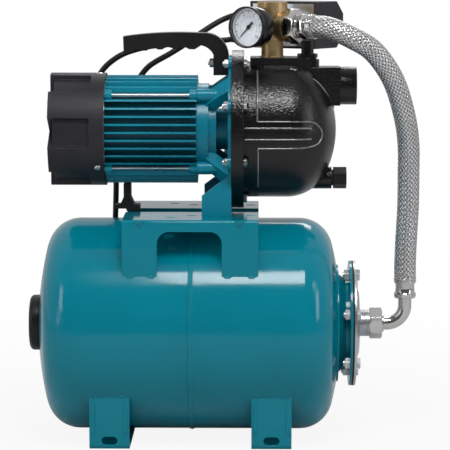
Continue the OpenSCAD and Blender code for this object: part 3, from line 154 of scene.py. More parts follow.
class Graph:
    """Node tree of a material or a world, with short calls for the nodes used here."""

    def __init__(self, owner: bpy.types.Material | bpy.types.World) -> None:
        """Opens the owner's node tree."""
        owner.use_nodes = True
        self.owner = owner
        self.tree = owner.node_tree

    @classmethod
    def material(cls, name: str) -> Graph:
        """Starts a new material."""
        return cls(bpy.data.materials.new(name))

    def shade(self, **values: object) -> None:
        """Feeds the Principled shader; an underscore in a name stands for a space."""
        shader = self.tree.nodes["Principled BSDF"]
        for key, value in values.items():
            self.feed(shader.inputs[key.replace("_", " ")], value)

    def node(self, kind: str, inputs: dict | None = None, **settings: object) -> bpy.types.Node:
        """Adds a node.

        Args:
            kind: Node type without its ShaderNode prefix.
            inputs: Socket values or links, by socket name or index.
            settings: Properties of the node itself.

        Returns:
            The new node.
        """
        made = self.tree.nodes.new("ShaderNode" + kind)
        for key, value in settings.items():
            setattr(made, key, value)
        for key, value in (inputs or {}).items():
            self.feed(made.inputs[key], value)
        return made

    def feed(self, socket: Socket, value: object) -> None:
        """Links a socket, or sets its value."""
        if isinstance(value, bpy.types.NodeSocket):
            self.tree.links.new(value, socket)
        else:
            socket.default_value = value

    def place(self, stretch: Point = EVEN) -> Socket:
        """Returns object coordinates, stretched along the row axes."""
        coords = self.node("TexCoord").outputs["Object"]
        if stretch == EVEN:
            return coords
        return self.node("Mapping", {"Vector": coords, "Scale": stretch}).outputs["Vector"]

    def noise(self, scale: float, detail: float = 3.0, stretch: Point = EVEN) -> Socket:
        """Returns a noise value of a scale per metre."""
        inputs = {"Vector": self.place(stretch), "Scale": scale, "Detail": detail}
        return self.node("TexNoise", inputs).outputs["Fac"]

    def sum(self, a: object, b: object, operation: str = "ADD", clamp: bool = False) -> Socket:
        """Returns a Math node's result."""
        return self.node("Math", {0: a, 1: b}, operation=operation, use_clamp=clamp).outputs[0]

    def span(self, value: Socket, low: float, high: float, out: tuple[float, float]) -> Socket:
        """Returns a value mapped from one range to another, clamped."""
        inputs = {"Value": value, "From Min": low, "From Max": high,
                  "To Min": out[0], "To Max": out[1]}
        return self.node("MapRange", inputs).outputs["Result"]

    def blend(self, share: object, a: object, b: object, mode: str = "MIX") -> Socket:
        """Returns one colour mixed over another."""
        mixed = self.node("Mix", data_type="RGBA", blend_type=mode)
        self.feed(mixed.inputs[0], share)
        for index, value in ((6, a), (7, b)):
            self.feed(mixed.inputs[index], (*value, 1.0) if isinstance(value, tuple) else value)
        return mixed.outputs[2]

    def bump(self, height: Socket, depth: float, normal: Socket | None = None) -> Socket:
        """Returns a normal bumped by a height of a depth in metres."""
        made = self.node("Bump", {"Height": height, "Strength": 1.0, "Distance": depth})
        if normal is not None:
            self.feed(made.inputs["Normal"], normal)
        return made.outputs["Normal"]

    def arch(self, lane: Socket) -> Socket:
        """Returns half a sine wave over a lane from 0 to 1."""
        return self.sum(self.sum(lane, math.pi, "MULTIPLY"), 0.0, "SINE")

    def edges(self, radius: float) -> Socket:
        """Returns how much of a sharp edge is near, from 0 on flats to 1 on edges."""
        rounded = self.node("Bevel", {"Radius": radius}, samples=4).outputs["Normal"]
        flat = self.node("NewGeometry").outputs["Normal"]
        product = self.node("VectorMath", {0: rounded, 1: flat}, operation="DOT_PRODUCT")
        return self.span(product.outputs["Value"], 0.999, 0.9, (0.0, 1.0))


@dataclass(frozen=True)
class Bump:
    """One height pattern of a finish: its scale per metre and its depth in metres."""

    pattern: Pattern
    scale: float
    depth: float
    stretch: Point = EVEN


@dataclass(frozen=True)
class Finish:
    """A surface's colour, gloss, grain, and a lighter edge colour that is partly wear and partly a painted
    edge highlight.
    """

    name: str
    slot: str
    base: Colour
    mottle: Colour
    mottle_scale: float = 14.0
    metallic: float = 0.0
    rough: tuple[float, float] = (0.3, 0.42)
    rough_scale: float = 30.0
    bumps: tuple[Bump, ...] = ()
    coat: float = 0.0
    coat_rough: float = 0.06
    specular: float = 0.5
    edge: float = 0.0
    worn: Colour | None = None
    streak: Point = EVEN

    def build(self) -> bpy.types.Material:
        """Returns the finish as a material."""
        graph = Graph.material(self.name)
        mix = graph.span(graph.noise(self.mottle_scale, 5.0, self.streak), 0.35, 0.65, (0.0, 1.0))
        colour = graph.blend(mix, self.base, self.mottle)
        # Lighter colour along sharp edges, in patches: partly edge wear, partly a painted edge highlight
        if self.worn is not None:
            patchy = graph.span(graph.noise(90.0, 4.0), 0.42, 0.62, (0.15, 1.0))
            near = graph.sum(graph.edges(self.edge), patchy, "MULTIPLY")
            colour = graph.blend(near, colour, self.worn)
        wave = graph.noise(self.rough_scale, 4.0, self.streak)
        graph.shade(Base_Color=self.tint(graph, colour), Roughness=graph.span(wave, 0.3, 0.7, self.rough),
                    Metallic=self.metallic, Specular_IOR_Level=self.specular,
                    Coat_Weight=self.coat, Coat_Roughness=self.coat_rough)
        normal = None
        if self.edge:
            normal = graph.node("Bevel", {"Radius": self.edge}, samples=4).outputs["Normal"]
        for bump in self.bumps:
            normal = graph.bump(self.height(graph, bump), bump.depth, normal)
        if normal is not None:
            graph.shade(Normal=normal)
        return graph.owner

    def tint(self, graph: Graph, colour: Socket) -> Socket:
        """Returns the colour as it is; a finish that changes with place changes it here."""
        return colour

    @staticmethod
    def height(graph: Graph, bump: Bump) -> Socket:
        """Returns the height that a bump's pattern gives."""
        if bump.pattern is Pattern.NOISE:
            return graph.noise(bump.scale, 3.0, bump.stretch)
        inputs = {"Vector": graph.place(bump.stretch), "Scale": bump.scale}
        if bump.pattern is Pattern.CELLS:
            return graph.node("TexVoronoi", inputs, feature="SMOOTH_F1").outputs["Distance"]
        return graph.node("TexWave", {**inputs, "Distortion": 0.4}, bands_direction="X").outputs["Fac"]


@dataclass(frozen=True)
class FinnedFinish(Finish):
    """Enamel with painted shade between the motor's fins, darker nearer the shaft's axis."""

    # Painted shade: dark teal mixed in deep between the fins, where the light does not reach
    grime: Colour = (0.004, 0.02, 0.03)
    root: float = 0.058
    clean: float = 0.0655
    depth: float = 0.85
    fins_end: tuple[float, float] = (-0.0345, -0.0335)

    def tint(self, graph: Graph, colour: Socket) -> Socket:
        """Returns the colour with painted shade in the gaps between the fins."""
        split = graph.node("SeparateXYZ", {0: graph.place()})
        up = graph.sum(split.outputs["Z"], SET.motor_z * MM, "SUBTRACT")
        square = graph.sum(graph.sum(up, 2.0, "POWER"), graph.sum(split.outputs["Y"], 2.0, "POWER"))
        reach = graph.span(graph.sum(square, 0.5, "POWER"), self.root, self.clean, (self.depth, 0.0))
        inside = graph.span(split.outputs["X"], *self.fins_end, (1.0, 0.0))
        return graph.blend(graph.sum(reach, inside, "MULTIPLY"), colour, self.grime)


@dataclass(frozen=True)
class BraidFinish:
    """Wire braid over a hose: flat bundles that cross, laid out on the hose's own map."""

    name: str = "wire_braid"
    slot: str = "braid"
    carriers: int = 17
    pitch: float = 0.0064
    wires: int = 3
    bright: Colour = (0.7, 0.7, 0.71)
    dark: Colour = (0.02, 0.02, 0.022)

    def build(self, length: float) -> bpy.types.Material:
        """Braid for a hose of a length in metres.

        Args:
            length: Length of the hose, which sets how often the braid repeats.

        Returns:
            The material.
        """
        graph = Graph.material(self.name)
        split = graph.node("SeparateXYZ", {0: graph.node("UVMap").outputs["UV"]})
        along = graph.sum(split.outputs["X"], length / self.pitch, "MULTIPLY")
        around = graph.sum(split.outputs["Y"], float(self.carriers), "MULTIPLY")
        left = graph.sum(along, around)
        right = graph.sum(along, around, "SUBTRACT")
        over = graph.sum(graph.sum(left, 0.0, "FLOOR"), graph.sum(right, 0.0, "FLOOR"))
        over = graph.sum(over, 2.0, "FLOORED_MODULO")
        runs = []
        for lane, cross in ((left, right), (right, left)):
            inside = graph.sum(lane, 1.0, "FLOORED_MODULO")
            swell = graph.arch(inside)
            rise = graph.arch(graph.sum(cross, 1.0, "FLOORED_MODULO"))
            wire = graph.sum(graph.sum(inside, 2 * math.pi * self.wires, "MULTIPLY"), 0.0, "COSINE")
            body = graph.sum(graph.sum(swell, 0.5, "POWER"), graph.sum(rise, 0.35, "MULTIPLY"))
            runs.append(graph.sum(body, graph.sum(wire, -0.09, "MULTIPLY")))
        first = graph.sum(runs[0], graph.sum(1.0, over, "SUBTRACT"), "MULTIPLY")
        height = graph.sum(first, graph.sum(runs[1], over, "MULTIPLY"))
        # The braid's low parts are painted dark: painted shade between the bundles and wires
        shade = graph.span(height, 0.35, 1.25, (0.0, 1.0))
        graph.shade(Base_Color=graph.blend(shade, self.dark, self.bright), Metallic=0.85,
                    Roughness=graph.span(height, 0.3, 1.3, (0.5, 0.24)), Normal=graph.bump(height, 0.0008))
        return graph.owner


@dataclass(frozen=True)
class GlassFinish:
    """Clear window of the gauge."""

    name: str = "window_glass"
    slot: str = "clear"

    def build(self) -> bpy.types.Material:
        """Returns thin clear glass with a faint haze."""
        graph = Graph.material(self.name)
        graph.shade(Base_Color=(0.96, 0.98, 1.0, 1.0), Transmission_Weight=1.0, IOR=1.2,
                    Roughness=graph.span(graph.noise(60.0), 0.3, 0.7, (0.0, 0.05)))
        return graph.owner


PEEL = Bump(Pattern.NOISE, 260.0, 0.00006)
# The lighter edge colours of the teal and grey finishes are partly wear and partly a painted edge highlight
TEAL = Finish("teal_enamel", "teal_paint", (0.0, 0.178, 0.245), (0.0, 0.19, 0.262), rough=(0.09, 0.16),
              specular=0.24, coat=0.08, coat_rough=0.05, bumps=(PEEL,), edge=0.0009, worn=(0.0, 0.34, 0.42))
CAST_TEAL = Finish("teal_cast_enamel", "teal_cast", (0.0, 0.17, 0.25), (0.0, 0.2, 0.29), rough=(0.24, 0.36),
                   specular=0.25, coat=0.1, coat_rough=0.12, edge=0.0007, worn=(0.01, 0.34, 0.42),
                   bumps=(PEEL, Bump(Pattern.NOISE, 900.0, 0.00012)))
# Motor housing enamel, with painted shade between its fins
FINS = FinnedFinish("teal_fins", "teal_cast", (0.0, 0.17, 0.25), (0.0, 0.2, 0.29), rough=(0.24, 0.36),
                    specular=0.25, coat=0.1, coat_rough=0.12, edge=0.0005, worn=(0.01, 0.36, 0.44),
                    bumps=(PEEL,))
CAST_BLACK = Finish("black_cast_enamel", "black_casting", (0.0035, 0.0035, 0.004), (0.007, 0.007, 0.008),
                    rough=(0.13, 0.22), rough_scale=400.0, specular=0.38, edge=0.001,
                    bumps=(Bump(Pattern.CELLS, 560.0, 0.0004), Bump(Pattern.NOISE, 900.0, 0.00012)))
SMOOTH_BLACK = Finish("black_ridge_enamel", "black_casting", (0.05, 0.05, 0.054), (0.16, 0.16, 0.17),
                      mottle_scale=300.0, rough=(0.12, 0.24), specular=0.9, coat=0.9,
                      bumps=(Bump(Pattern.NOISE, 500.0, 0.0002),))
BLACK_MOULDED = Finish("black_moulding", "black_plastic", (0.007, 0.007, 0.008), (0.012, 0.012, 0.013),
                       rough=(0.3, 0.42), specular=0.28, edge=0.0006,
                       bumps=(Bump(Pattern.NOISE, 1100.0, 0.00006),))
GLOSS_BLACK = Finish("gauge_case_black", "black_plastic", (0.004, 0.004, 0.005), (0.007, 0.007, 0.008),
                     rough=(0.08, 0.16), specular=0.4, bumps=(Bump(Pattern.NOISE, 300.0, 0.00003),))
GREY_MOULDED = Finish("dark_grey_moulding", "grey_plastic", (0.014, 0.014, 0.018), (0.021, 0.021, 0.026),
                      rough=(0.38, 0.5), specular=0.28, edge=0.0011, worn=(0.09, 0.09, 0.1),
                      bumps=(Bump(Pattern.CELLS, 1300.0, 0.00008),))
WHITE_MOULDED = Finish("white_moulding", "white_plastic", (0.72, 0.72, 0.69), (0.66, 0.66, 0.63),
                       rough=(0.35, 0.5), bumps=(Bump(Pattern.NOISE, 700.0, 0.00005),))
RUBBER = Finish("black_rubber", "rubber", (0.009, 0.009, 0.01), (0.015, 0.015, 0.015), rough=(0.55, 0.75),
                specular=0.3, bumps=(Bump(Pattern.NOISE, 1500.0, 0.00006),))
JACKET = Finish("lead_jacket", "rubber", (0.008, 0.008, 0.009), (0.013, 0.013, 0.014), rough=(0.36, 0.5),
                specular=0.3, bumps=(Bump(Pattern.NOISE, 420.0, 0.00012),))
ZINC = Finish("zinc_plate", "zinc", (0.62, 0.64, 0.66), (0.5, 0.53, 0.56), metallic=1.0, rough=(0.24, 0.4),
              mottle_scale=55.0, edge=0.0005, bumps=(Bump(Pattern.NOISE, 500.0, 0.00007),))
STEEL = Finish("ground_steel", "steel", (0.5, 0.5, 0.52), (0.4, 0.4, 0.42), metallic=1.0, rough=(0.2, 0.34),
               streak=(1.0, 8.0, 8.0), bumps=(Bump(Pattern.NOISE, 260.0, 0.00003, (12.0, 1.0, 1.0)),))
LAMINATION = Finish("stacked_laminations", "lamination", (0.2, 0.2, 0.21), (0.13, 0.13, 0.14), metallic=0.9,
                    rough=(0.4, 0.55), bumps=(Bump(Pattern.LINES, 300.0, 0.0002),))
COPPER = Finish("varnished_copper", "copper", (0.55, 0.22, 0.1), (0.4, 0.14, 0.06), metallic=0.8,
                rough=(0.3, 0.45), bumps=(Bump(Pattern.NOISE, 180.0, 0.0009, (1.0, 0.25, 0.25)),), coat=0.4)
BRASS = Finish("cast_brass", "brass", (0.52, 0.38, 0.2), (0.4, 0.28, 0.14), metallic=1.0, rough=(0.32, 0.5),
               mottle_scale=90.0, edge=0.0006, worn=(0.8, 0.66, 0.42),
               bumps=(Bump(Pattern.CELLS, 700.0, 0.00018), Bump(Pattern.NOISE, 260.0, 0.0002)))
CHROME = Finish("nickel_plate", "chrome", (0.64, 0.63, 0.62), (0.56, 0.55, 0.54), metallic=1.0,
                rough=(0.07, 0.16), edge=0.0006, bumps=(Bump(Pattern.NOISE, 300.0, 0.00004),))
ALLOY = Finish("die_cast_alloy", "alloy", (0.5, 0.5, 0.51), (0.4, 0.4, 0.41), metallic=0.9, rough=(0.4, 0.55),
               bumps=(Bump(Pattern.NOISE, 600.0, 0.0002),))
CERAMIC = Finish("seal_ceramic", "ceramic", (0.8, 0.76, 0.66), (0.74, 0.7, 0.6), rough=(0.1, 0.2), coat=0.5)
INK = Finish("dial_ink", "black_plastic", (0.012, 0.014, 0.05), (0.02, 0.022, 0.07), rough=(0.5, 0.6))
DIAL = Finish("dial_white", "dial_white", (0.8, 0.8, 0.83), (0.76, 0.76, 0.8), rough=(0.35, 0.45))


class Bench:
    """Modelling moves with Blender's own operators, all sizes in millimetres."""

    @staticmethod
    def clear() -> None:
        """Leaves edit mode and deselects everything."""
        if bpy.context.object is not None and bpy.context.object.mode != "OBJECT":
            bpy.ops.object.mode_set(mode="OBJECT")
        bpy.ops.object.select_all(action="DESELECT")

    @staticmethod
    def pick(piece: Piece) -> None:
        """Makes one object the only selected and active one."""
        Bench.clear()
        piece.select_set(True)
        bpy.context.view_layer.objects.active = piece

    @staticmethod
    def named(name: str) -> Piece:
        """Names the object just added and bakes its place into its mesh."""
        made = bpy.context.active_object
        made.name = name
        made.data.name = name
        bpy.ops.object.transform_apply(location=True, rotation=True, scale=True)
        return made

    @staticmethod
    def block(name: str, centre: Point, size: Point) -> Piece:
        """Returns a block of a size about a centre."""
        Bench.clear()
        bpy.ops.mesh.primitive_cube_add(size=1.0, location=Vector(centre) * MM)
        bpy.context.active_object.scale = Vector(size) * MM
        return Bench.named(name)

    @staticmethod
    def rod(name: str, centre: Point, radius: float, length: float, axis: Axis = Axis.Z,
            sides: int = 48) -> Piece:
        """Returns a round or many-sided rod about its middle."""
        Bench.clear()
        turn = Vector((0, 0, 1)).rotation_difference(Vector(axis.value)).to_euler()
        bpy.ops.mesh.primitive_cylinder_add(
            vertices=sides, radius=radius * MM, depth=length * MM, location=Vector(centre) * MM,
            rotation=turn)
        return Bench.named(name)

    @staticmethod
    def chain(name: str, points: Sequence[Point]) -> None:
        """Starts a mesh from one vertex, extruded from point to point, and stays in edit mode."""
        Bench.clear()
        bpy.ops.mesh.primitive_plane_add(size=0.001, location=Vector(points[0]) * MM)
        Bench.named(name)
        bpy.ops.object.mode_set(mode="EDIT")
        bpy.ops.mesh.select_all(action="SELECT")
        bpy.ops.mesh.merge(type="CENTER")
        for a, b in zip(points, points[1:]):
            step = (Vector(b) - Vector(a)) * MM
            bpy.ops.mesh.extrude_region_move(TRANSFORM_OT_translate={"value": step})

    @staticmethod
    def close(merge: float = MERGE) -> Piece:
        """Merges doubles, points the faces outwards, and leaves edit mode."""
        bpy.ops.mesh.select_all(action="SELECT")
        bpy.ops.mesh.remove_doubles(threshold=merge)
        bpy.ops.mesh.normals_make_consistent(inside=False)
        bpy.ops.object.mode_set(mode="OBJECT")
        return bpy.context.active_object

    @staticmethod
    def turned(name: str, profile: Profile, centre: Point = ORIGIN, axis: Axis = Axis.X,
               steps: int = 64) -> Piece:
        """Spins a profile of (along, radius) about an axis.

        Args:
            name: Name of the piece.
            profile: Points as distance along the axis and radius, on or off the axis.
            centre: Origin of the profile, in millimetres in the row frame.
            axis: Axis of the spin.
            steps: Facets round the piece.

        Returns:
            The turned piece.
        """
        main = Vector(axis.value)
        side = Vector((0, 0, 1)) if axis is not Axis.Z else Vector((1, 0, 0))
        origin = Vector(centre)
        Bench.chain(name, [tuple(origin + main * a + side * r) for a, r in profile])
        bpy.ops.mesh.select_all(action="SELECT")
        bpy.ops.mesh.spin(steps=steps, angle=2 * math.pi, center=origin * MM, axis=main,
                          use_auto_merge=True)
        return Bench.close(2 * MERGE)

    @staticmethod
    def pressed(name: str, outline: Sequence[Point], thickness: Point) -> Piece:
        """Fills an outline and extrudes it by a vector."""
        Bench.chain(name, outline)
        bpy.ops.mesh.select_all(action="SELECT")
        bpy.ops.mesh.edge_face_add()
        bpy.ops.mesh.extrude_region_move(TRANSFORM_OT_translate={"value": Vector(thickness) * MM})
        return Bench.close()

    @staticmethod
    def nut(name: str, centre: Point, flats: float, length: float, axis: Axis = Axis.X) -> Piece:
        """Makes a hexagon nut with turned-off corners.

        Args:
            name: Name of the piece.
            centre: Its middle.
            flats: Width across its flats.
            length: Its height along the axis.
            axis: Its axis.

        Returns:
            The nut.
        """
        corner, half = flats / math.sqrt(3), length / 2
        fall = (corner - flats / 2) * math.tan(math.radians(30))
        body = Bench.rod(name, centre, corner, length, axis, 6)
        if axis is Axis.X:
            Bench.turn_about(body, Vector(centre) * MM, Vector(axis.value), 30)
        rim, over = flats * 0.485, corner + 0.1
        profile = [(-half, 0), (-half, rim), (fall - half, over), (half - fall, over), (half, rim), (half, 0)]
        lathe = Bench.turned(name + "_lathe", profile, centre, axis, 48)
        Bench.modify(body, "BOOLEAN", operation="INTERSECT", object=lathe, solver="EXACT")
        bpy.data.objects.remove(lathe, do_unlink=True)
        return Bench.bevel(body, 0.35, 2, 20)

    @staticmethod
    def figures(name: str, text: str, size: float, place: Matrix) -> Piece:
        """Makes plain numerals of a height in millimetres as a thin raised mesh, and moves them."""
        Bench.clear()
        bpy.ops.object.text_add()
        made = bpy.context.active_object
        made.data.body = text
        made.data.size = size * MM
        made.data.align_x = made.data.align_y = "CENTER"
        made.data.extrude = 0.00004
        made.data.resolution_u = 3
        bpy.ops.object.convert(target="MESH")
        made = bpy.context.active_object
        made.name = made.data.name = name
        made.data.transform(place)
        bpy.ops.object.mode_set(mode="EDIT")
        return Bench.close(FINE_MERGE)

    @staticmethod
    def modify(piece: Piece, kind: str, **settings: object) -> Piece:
        """Adds a modifier with its settings and applies it."""
        Bench.pick(piece)
        added = piece.modifiers.new(kind.title(), kind)
        for key, value in settings.items():
            setattr(added, key, value)
        bpy.ops.object.modifier_apply(modifier=added.name)
        return piece

    @staticmethod
    def bevel(piece: Piece, width: float, segments: int = 2, angle: float = 32.0) -> Piece:
        """Rounds a piece's sharp edges by a width in millimetres."""
        return Bench.modify(
            piece, "BEVEL", width=width * MM, segments=segments, limit_method="ANGLE",
            angle_limit=math.radians(angle), harden_normals=False, use_clamp_overlap=True)

    @staticmethod
    def cut(piece: Piece, cutter: Piece) -> Piece:
        """Cuts one piece out of another and removes the cutter."""
        Bench.modify(piece, "BOOLEAN", operation="DIFFERENCE", object=cutter, solver="EXACT")
        bpy.data.objects.remove(cutter, do_unlink=True)
        return piece

    @staticmethod
    def copy(piece: Piece, name: str, matrix: Matrix) -> Piece:
        """Returns a copy with its own mesh, moved by a matrix in metres."""
        Bench.pick(piece)
        bpy.ops.object.duplicate(linked=False)
        made = bpy.context.active_object
        made.name = name
        made.data.transform(matrix)
        return made

    @staticmethod
    def join(pieces: Sequence[Piece], name: str) -> Piece:
        """Joins pieces into one object with a name."""
        Bench.clear()
        for piece in pieces:
            piece.select_set(True)
        bpy.context.view_layer.objects.active = pieces[0]
        if len(pieces) > 1:
            bpy.ops.object.join()
        pieces[0].name = name
        pieces[0].data.name = name
        return pieces[0]

    @staticmethod
    def turn_about(piece: Piece, centre: Vector, axis: Vector, degrees: float) -> Piece:
        """Turns a piece's mesh about an axis through a point in metres."""
        move = Matrix.Translation(centre) @ Matrix.Rotation(math.radians(degrees), 4, axis)
        piece.data.transform(move @ Matrix.Translation(-centre))
        return piece

    @staticmethod
    def smooth(piece: Piece, angle: float = 35.0) -> Piece:
        """Shades a piece smooth up to an angle."""
        Bench.pick(piece)
        bpy.ops.object.shade_smooth_by_angle(angle=math.radians(angle))
        return piece


class Shop:
    """Dresses the frame's nodes and hands over finished pieces."""

    def __init__(self, frame: dict) -> None:
        """Keeps the frame and a cache of its materials."""
        self.frame = frame
        self.made: dict[str, bpy.types.Material] = {}
        self.bodies = frame["record"]["behaviour"]["bodies"]

    def material(self, finish: Finish | GlassFinish) -> bpy.types.Material:
        """Returns a finish's material, built once."""
        if finish.name not in self.made:
            self.made[finish.name] = finish.build()
        return self.made[finish.name]

    def body(self, node: str) -> str:
        """Returns the body that a CAD node rides on."""
        return next(name for name, nodes in self.bodies.items() if node in nodes)

    def dress(self, node: str, finish: Finish | GlassFinish) -> None:
        """Gives a CAD node its finish."""
        owner = self.frame["nodes"][node]
        for index in range(len(owner.material_slots)):
            owner.material_slots[index].material = self.material(finish)

    def hand_over(self, piece: Piece, finish: Finish | GlassFinish, body: str = "set",
                  stands_for: Sequence[str] = (), angle: float | None = 35.0) -> Piece:
        """Finishes a new piece.

        Args:
            piece: The modelled piece.
            finish: Its finish.
            body: The body that it rides on.
            stands_for: CAD nodes that it replaces.
            angle: Angle up to which it is shaded smooth, or None to leave its shading.

        Returns:
            The piece.
        """
        piece.data.materials.clear()
        piece.data.materials.append(self.material(finish))
        if angle is not None:
            Bench.smooth(piece, angle)
        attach(piece, body)
        if stands_for:
            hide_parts(*stands_for)
        LOG.info("%s on %s, %d faces", piece.name, body, len(piece.data.polygons))
        return piece

    def refine(self, node: str, finish: Finish, width: float, segments: int = 2) -> Piece:
        """Replaces a node by a copy of its shape with rounded edges.

        Args:
            node: CAD node to take the shape from.
            finish: Finish of the copy.
            width: Width of the rounding in millimetres.
            segments: Facets across the rounding.

        Returns:
            The copy, riding where the node rides.
        """
        made = Bench.copy(self.frame["nodes"][node], node + "_finished", Matrix())
        bpy.ops.object.parent_clear(type="CLEAR_KEEP_TRANSFORM")
        bpy.ops.object.mode_set(mode="EDIT")
        bpy.ops.mesh.select_all(action="SELECT")
        bpy.ops.mesh.remove_doubles(threshold=MERGE)
        bpy.ops.mesh.dissolve_limited(angle_limit=math.radians(0.6))
        bpy.ops.mesh.customdata_custom_splitnormals_clear()
        bpy.ops.object.mode_set(mode="OBJECT")
        Bench.bevel(made, width, segments)
        Bench.smooth(made, 40.0)
        Bench.modify(made, "WEIGHTED_NORMAL", keep_sharp=True, weight=70)
        return self.hand_over(made, finish, self.body(node), (node,), angle=None)


@dataclass
class Studio:
    """Camera, lamps, floor and backdrop."""

    lens: float = 181.36
    tilt: float = 6.92
    swing: float = 0.86
    eye: Point = (44.6, -2878.0, 617.7)
    key: float = 21.0
    rim: float = 7.0
    sky: float = 0.5
    front: float = 0.12
    back: float = 0.6

    def build(self) -> None:
        """Sets the camera and the light."""
        data = bpy.data.cameras.new("camera")
        camera = bpy.data.objects.new("camera", data)
        bpy.context.scene.collection.objects.link(camera)
        data.lens = self.lens
        data.sensor_width = 36.0
        data.clip_end = 50.0
        camera.location = Vector(self.eye) * MM
        camera.rotation_euler = (math.radians(90.0 - self.tilt), 0.0, math.radians(self.swing))
        bpy.context.scene.camera = camera
        bpy.context.scene.view_settings.view_transform = "Standard"
        self.world()
        self.lamp("top_box", (0.15, -1.15, 1.95), (0.0, 0.0, 0.3), (0.65, 0.5), self.key)
        self.lamp("left_box", (-1.7, -1.1, 0.9), (0.0, 0.0, 0.3), (0.35, 1.3), self.rim)
        self.lamp("right_box", (1.7, -0.9, 1.0), (0.1, 0.0, 0.35), (0.35, 1.3), self.rim)
        self.lamp("rear_box", (0.2, 1.6, 1.5), (0.0, 0.0, 0.3), (0.8, 0.5), self.rim)
        self.floor()

    def world(self) -> None:
        """Lights the scene: white where seen directly, and dim in front for what is reflected."""
        world = bpy.data.worlds.new("studio")
        bpy.context.scene.world = world
        graph = Graph(world)
        path = graph.node("LightPath").outputs
        seen = graph.sum(path["Is Camera Ray"], path["Is Transmission Ray"], "MAXIMUM")
        split = graph.node("SeparateXYZ", {0: graph.node("TexCoord").outputs["Generated"]})
        side = graph.span(split.outputs["Y"], -0.7, 0.15, (self.front, self.back))
        gloss = graph.node("Mix", {0: path["Is Glossy Ray"], 2: self.sky, 3: side}).outputs[0]
        background = graph.tree.nodes["Background"].inputs
        graph.feed(background["Color"], WHITE)
        graph.feed(background["Strength"], graph.sum(seen, gloss, "MAXIMUM"))

    def lamp(self, name: str, place: Point, aim: Point, size: tuple[float, float], power: float) -> None:
        """Adds a soft box at a place in metres, turned to its aim."""
        data = bpy.data.lights.new(name, "AREA")
        data.shape = "RECTANGLE"
        data.size, data.size_y = size
        data.energy = power
        lamp = bpy.data.objects.new(name, data)
        bpy.context.scene.collection.objects.link(lamp)
        lamp.location = place
        lamp.rotation_euler = (Vector(aim) - Vector(place)).to_track_quat("-Z", "Y").to_euler()

    def floor(self) -> None:
        """Adds the pale floor, which keeps the set's shadow."""
        Bench.clear()
        bpy.ops.mesh.primitive_plane_add(size=14.0, location=(0.0, 0.0, -0.0003))
        floor = Bench.named("floor")
        graph = Graph.material("pale_floor")
        path = graph.node("LightPath")
        shade = graph.node("BsdfDiffuse", {"Color": (0.6, 0.6, 0.6, 1.0)})
        glow = graph.node("Emission", {"Color": WHITE, "Strength": 1.0})
        away = graph.node("VectorMath", {0: graph.place()}, operation="LENGTH").outputs["Value"]
        fade = graph.span(away, 0.3, 1.1, (0.9, 1.0))
        share = graph.sum(path.outputs["Is Camera Ray"], fade, "MULTIPLY")
        mix = graph.node("MixShader", {0: share, 1: shade.outputs[0], 2: glow.outputs[0]})
        graph.feed(graph.tree.nodes["Material Output"].inputs["Surface"], mix.outputs[0])
        floor.data.materials.append(graph.owner)


def spline(points: Sequence[Vector], steps: int) -> list[Vector]:
    """Smooths listed points.

    Args:
        points: Points the line passes through.
        steps: Pieces between two points.

    Returns:
        Points along the smooth line.
    """
    line: list[Vector] = []
    last = len(points) - 1
    for i in range(last):
        a, b = points[max(i - 1, 0)], points[i]
        c, d = points[i + 1], points[min(i + 2, last)]
        for k in range(steps):
            t = k / steps
            line.append(0.5 * (2 * b + (c - a) * t + (2 * a - 5 * b + 4 * c - d) * t ** 2
                               + (3 * b - a - 3 * c + d) * t ** 3))
    return line + [points[-1]]


def length_of(line: Sequence[Vector]) -> float:
    """Returns the length of a line of points."""
    return sum((b - a).length for a, b in zip(line, line[1:]))


def spaced(line: Sequence[Vector], count: int) -> list[Vector]:
    """Returns a number of points at even distances along a line."""
    total = length_of(line)
    out, walked, index = [line[0].copy()], 0.0, 0
    for k in range(1, count - 1):
        goal = total * k / (count - 1)
        while walked + (line[index + 1] - line[index]).length < goal:
            walked += (line[index + 1] - line[index]).length
            index += 1
        part = (line[index + 1] - line[index])
        out.append(line[index] + part * ((goal - walked) / part.length))
    return out + [line[-1].copy()]


def tube(name: str, line: Sequence[Vector], radii: Sequence[float], sides: int = 16) -> Piece:
    """Bevels a curve along a line and makes it a mesh with its own map.

    Args:
        name: Name of the piece.
        line: Centreline in metres.
        radii: Radius at each point in metres.
        sides: Facets round the tube.

    Returns:
        The tube, with closed ends.
    """
    Bench.clear()
    widest = max(radii)
    data = bpy.data.curves.new(name, "CURVE")
    data.dimensions = "3D"
    data.bevel_depth = widest
    data.bevel_resolution = max(sides // 4 - 1, 1)
    data.use_fill_caps = True
    data.twist_mode = "MINIMUM"
    path = data.splines.new("POLY")
    path.points.add(len(line) - 1)
    for point, place, radius in zip(path.points, line, radii):
        point.co = (*place, 1.0)
        point.radius = radius / widest
    made = bpy.data.objects.new(name, data)
    bpy.context.scene.collection.objects.link(made)
    Bench.pick(made)
    bpy.ops.object.convert(target="MESH")
    made = bpy.context.active_object
    bpy.ops.object.mode_set(mode="EDIT")
    return Bench.close(FINE_MERGE)


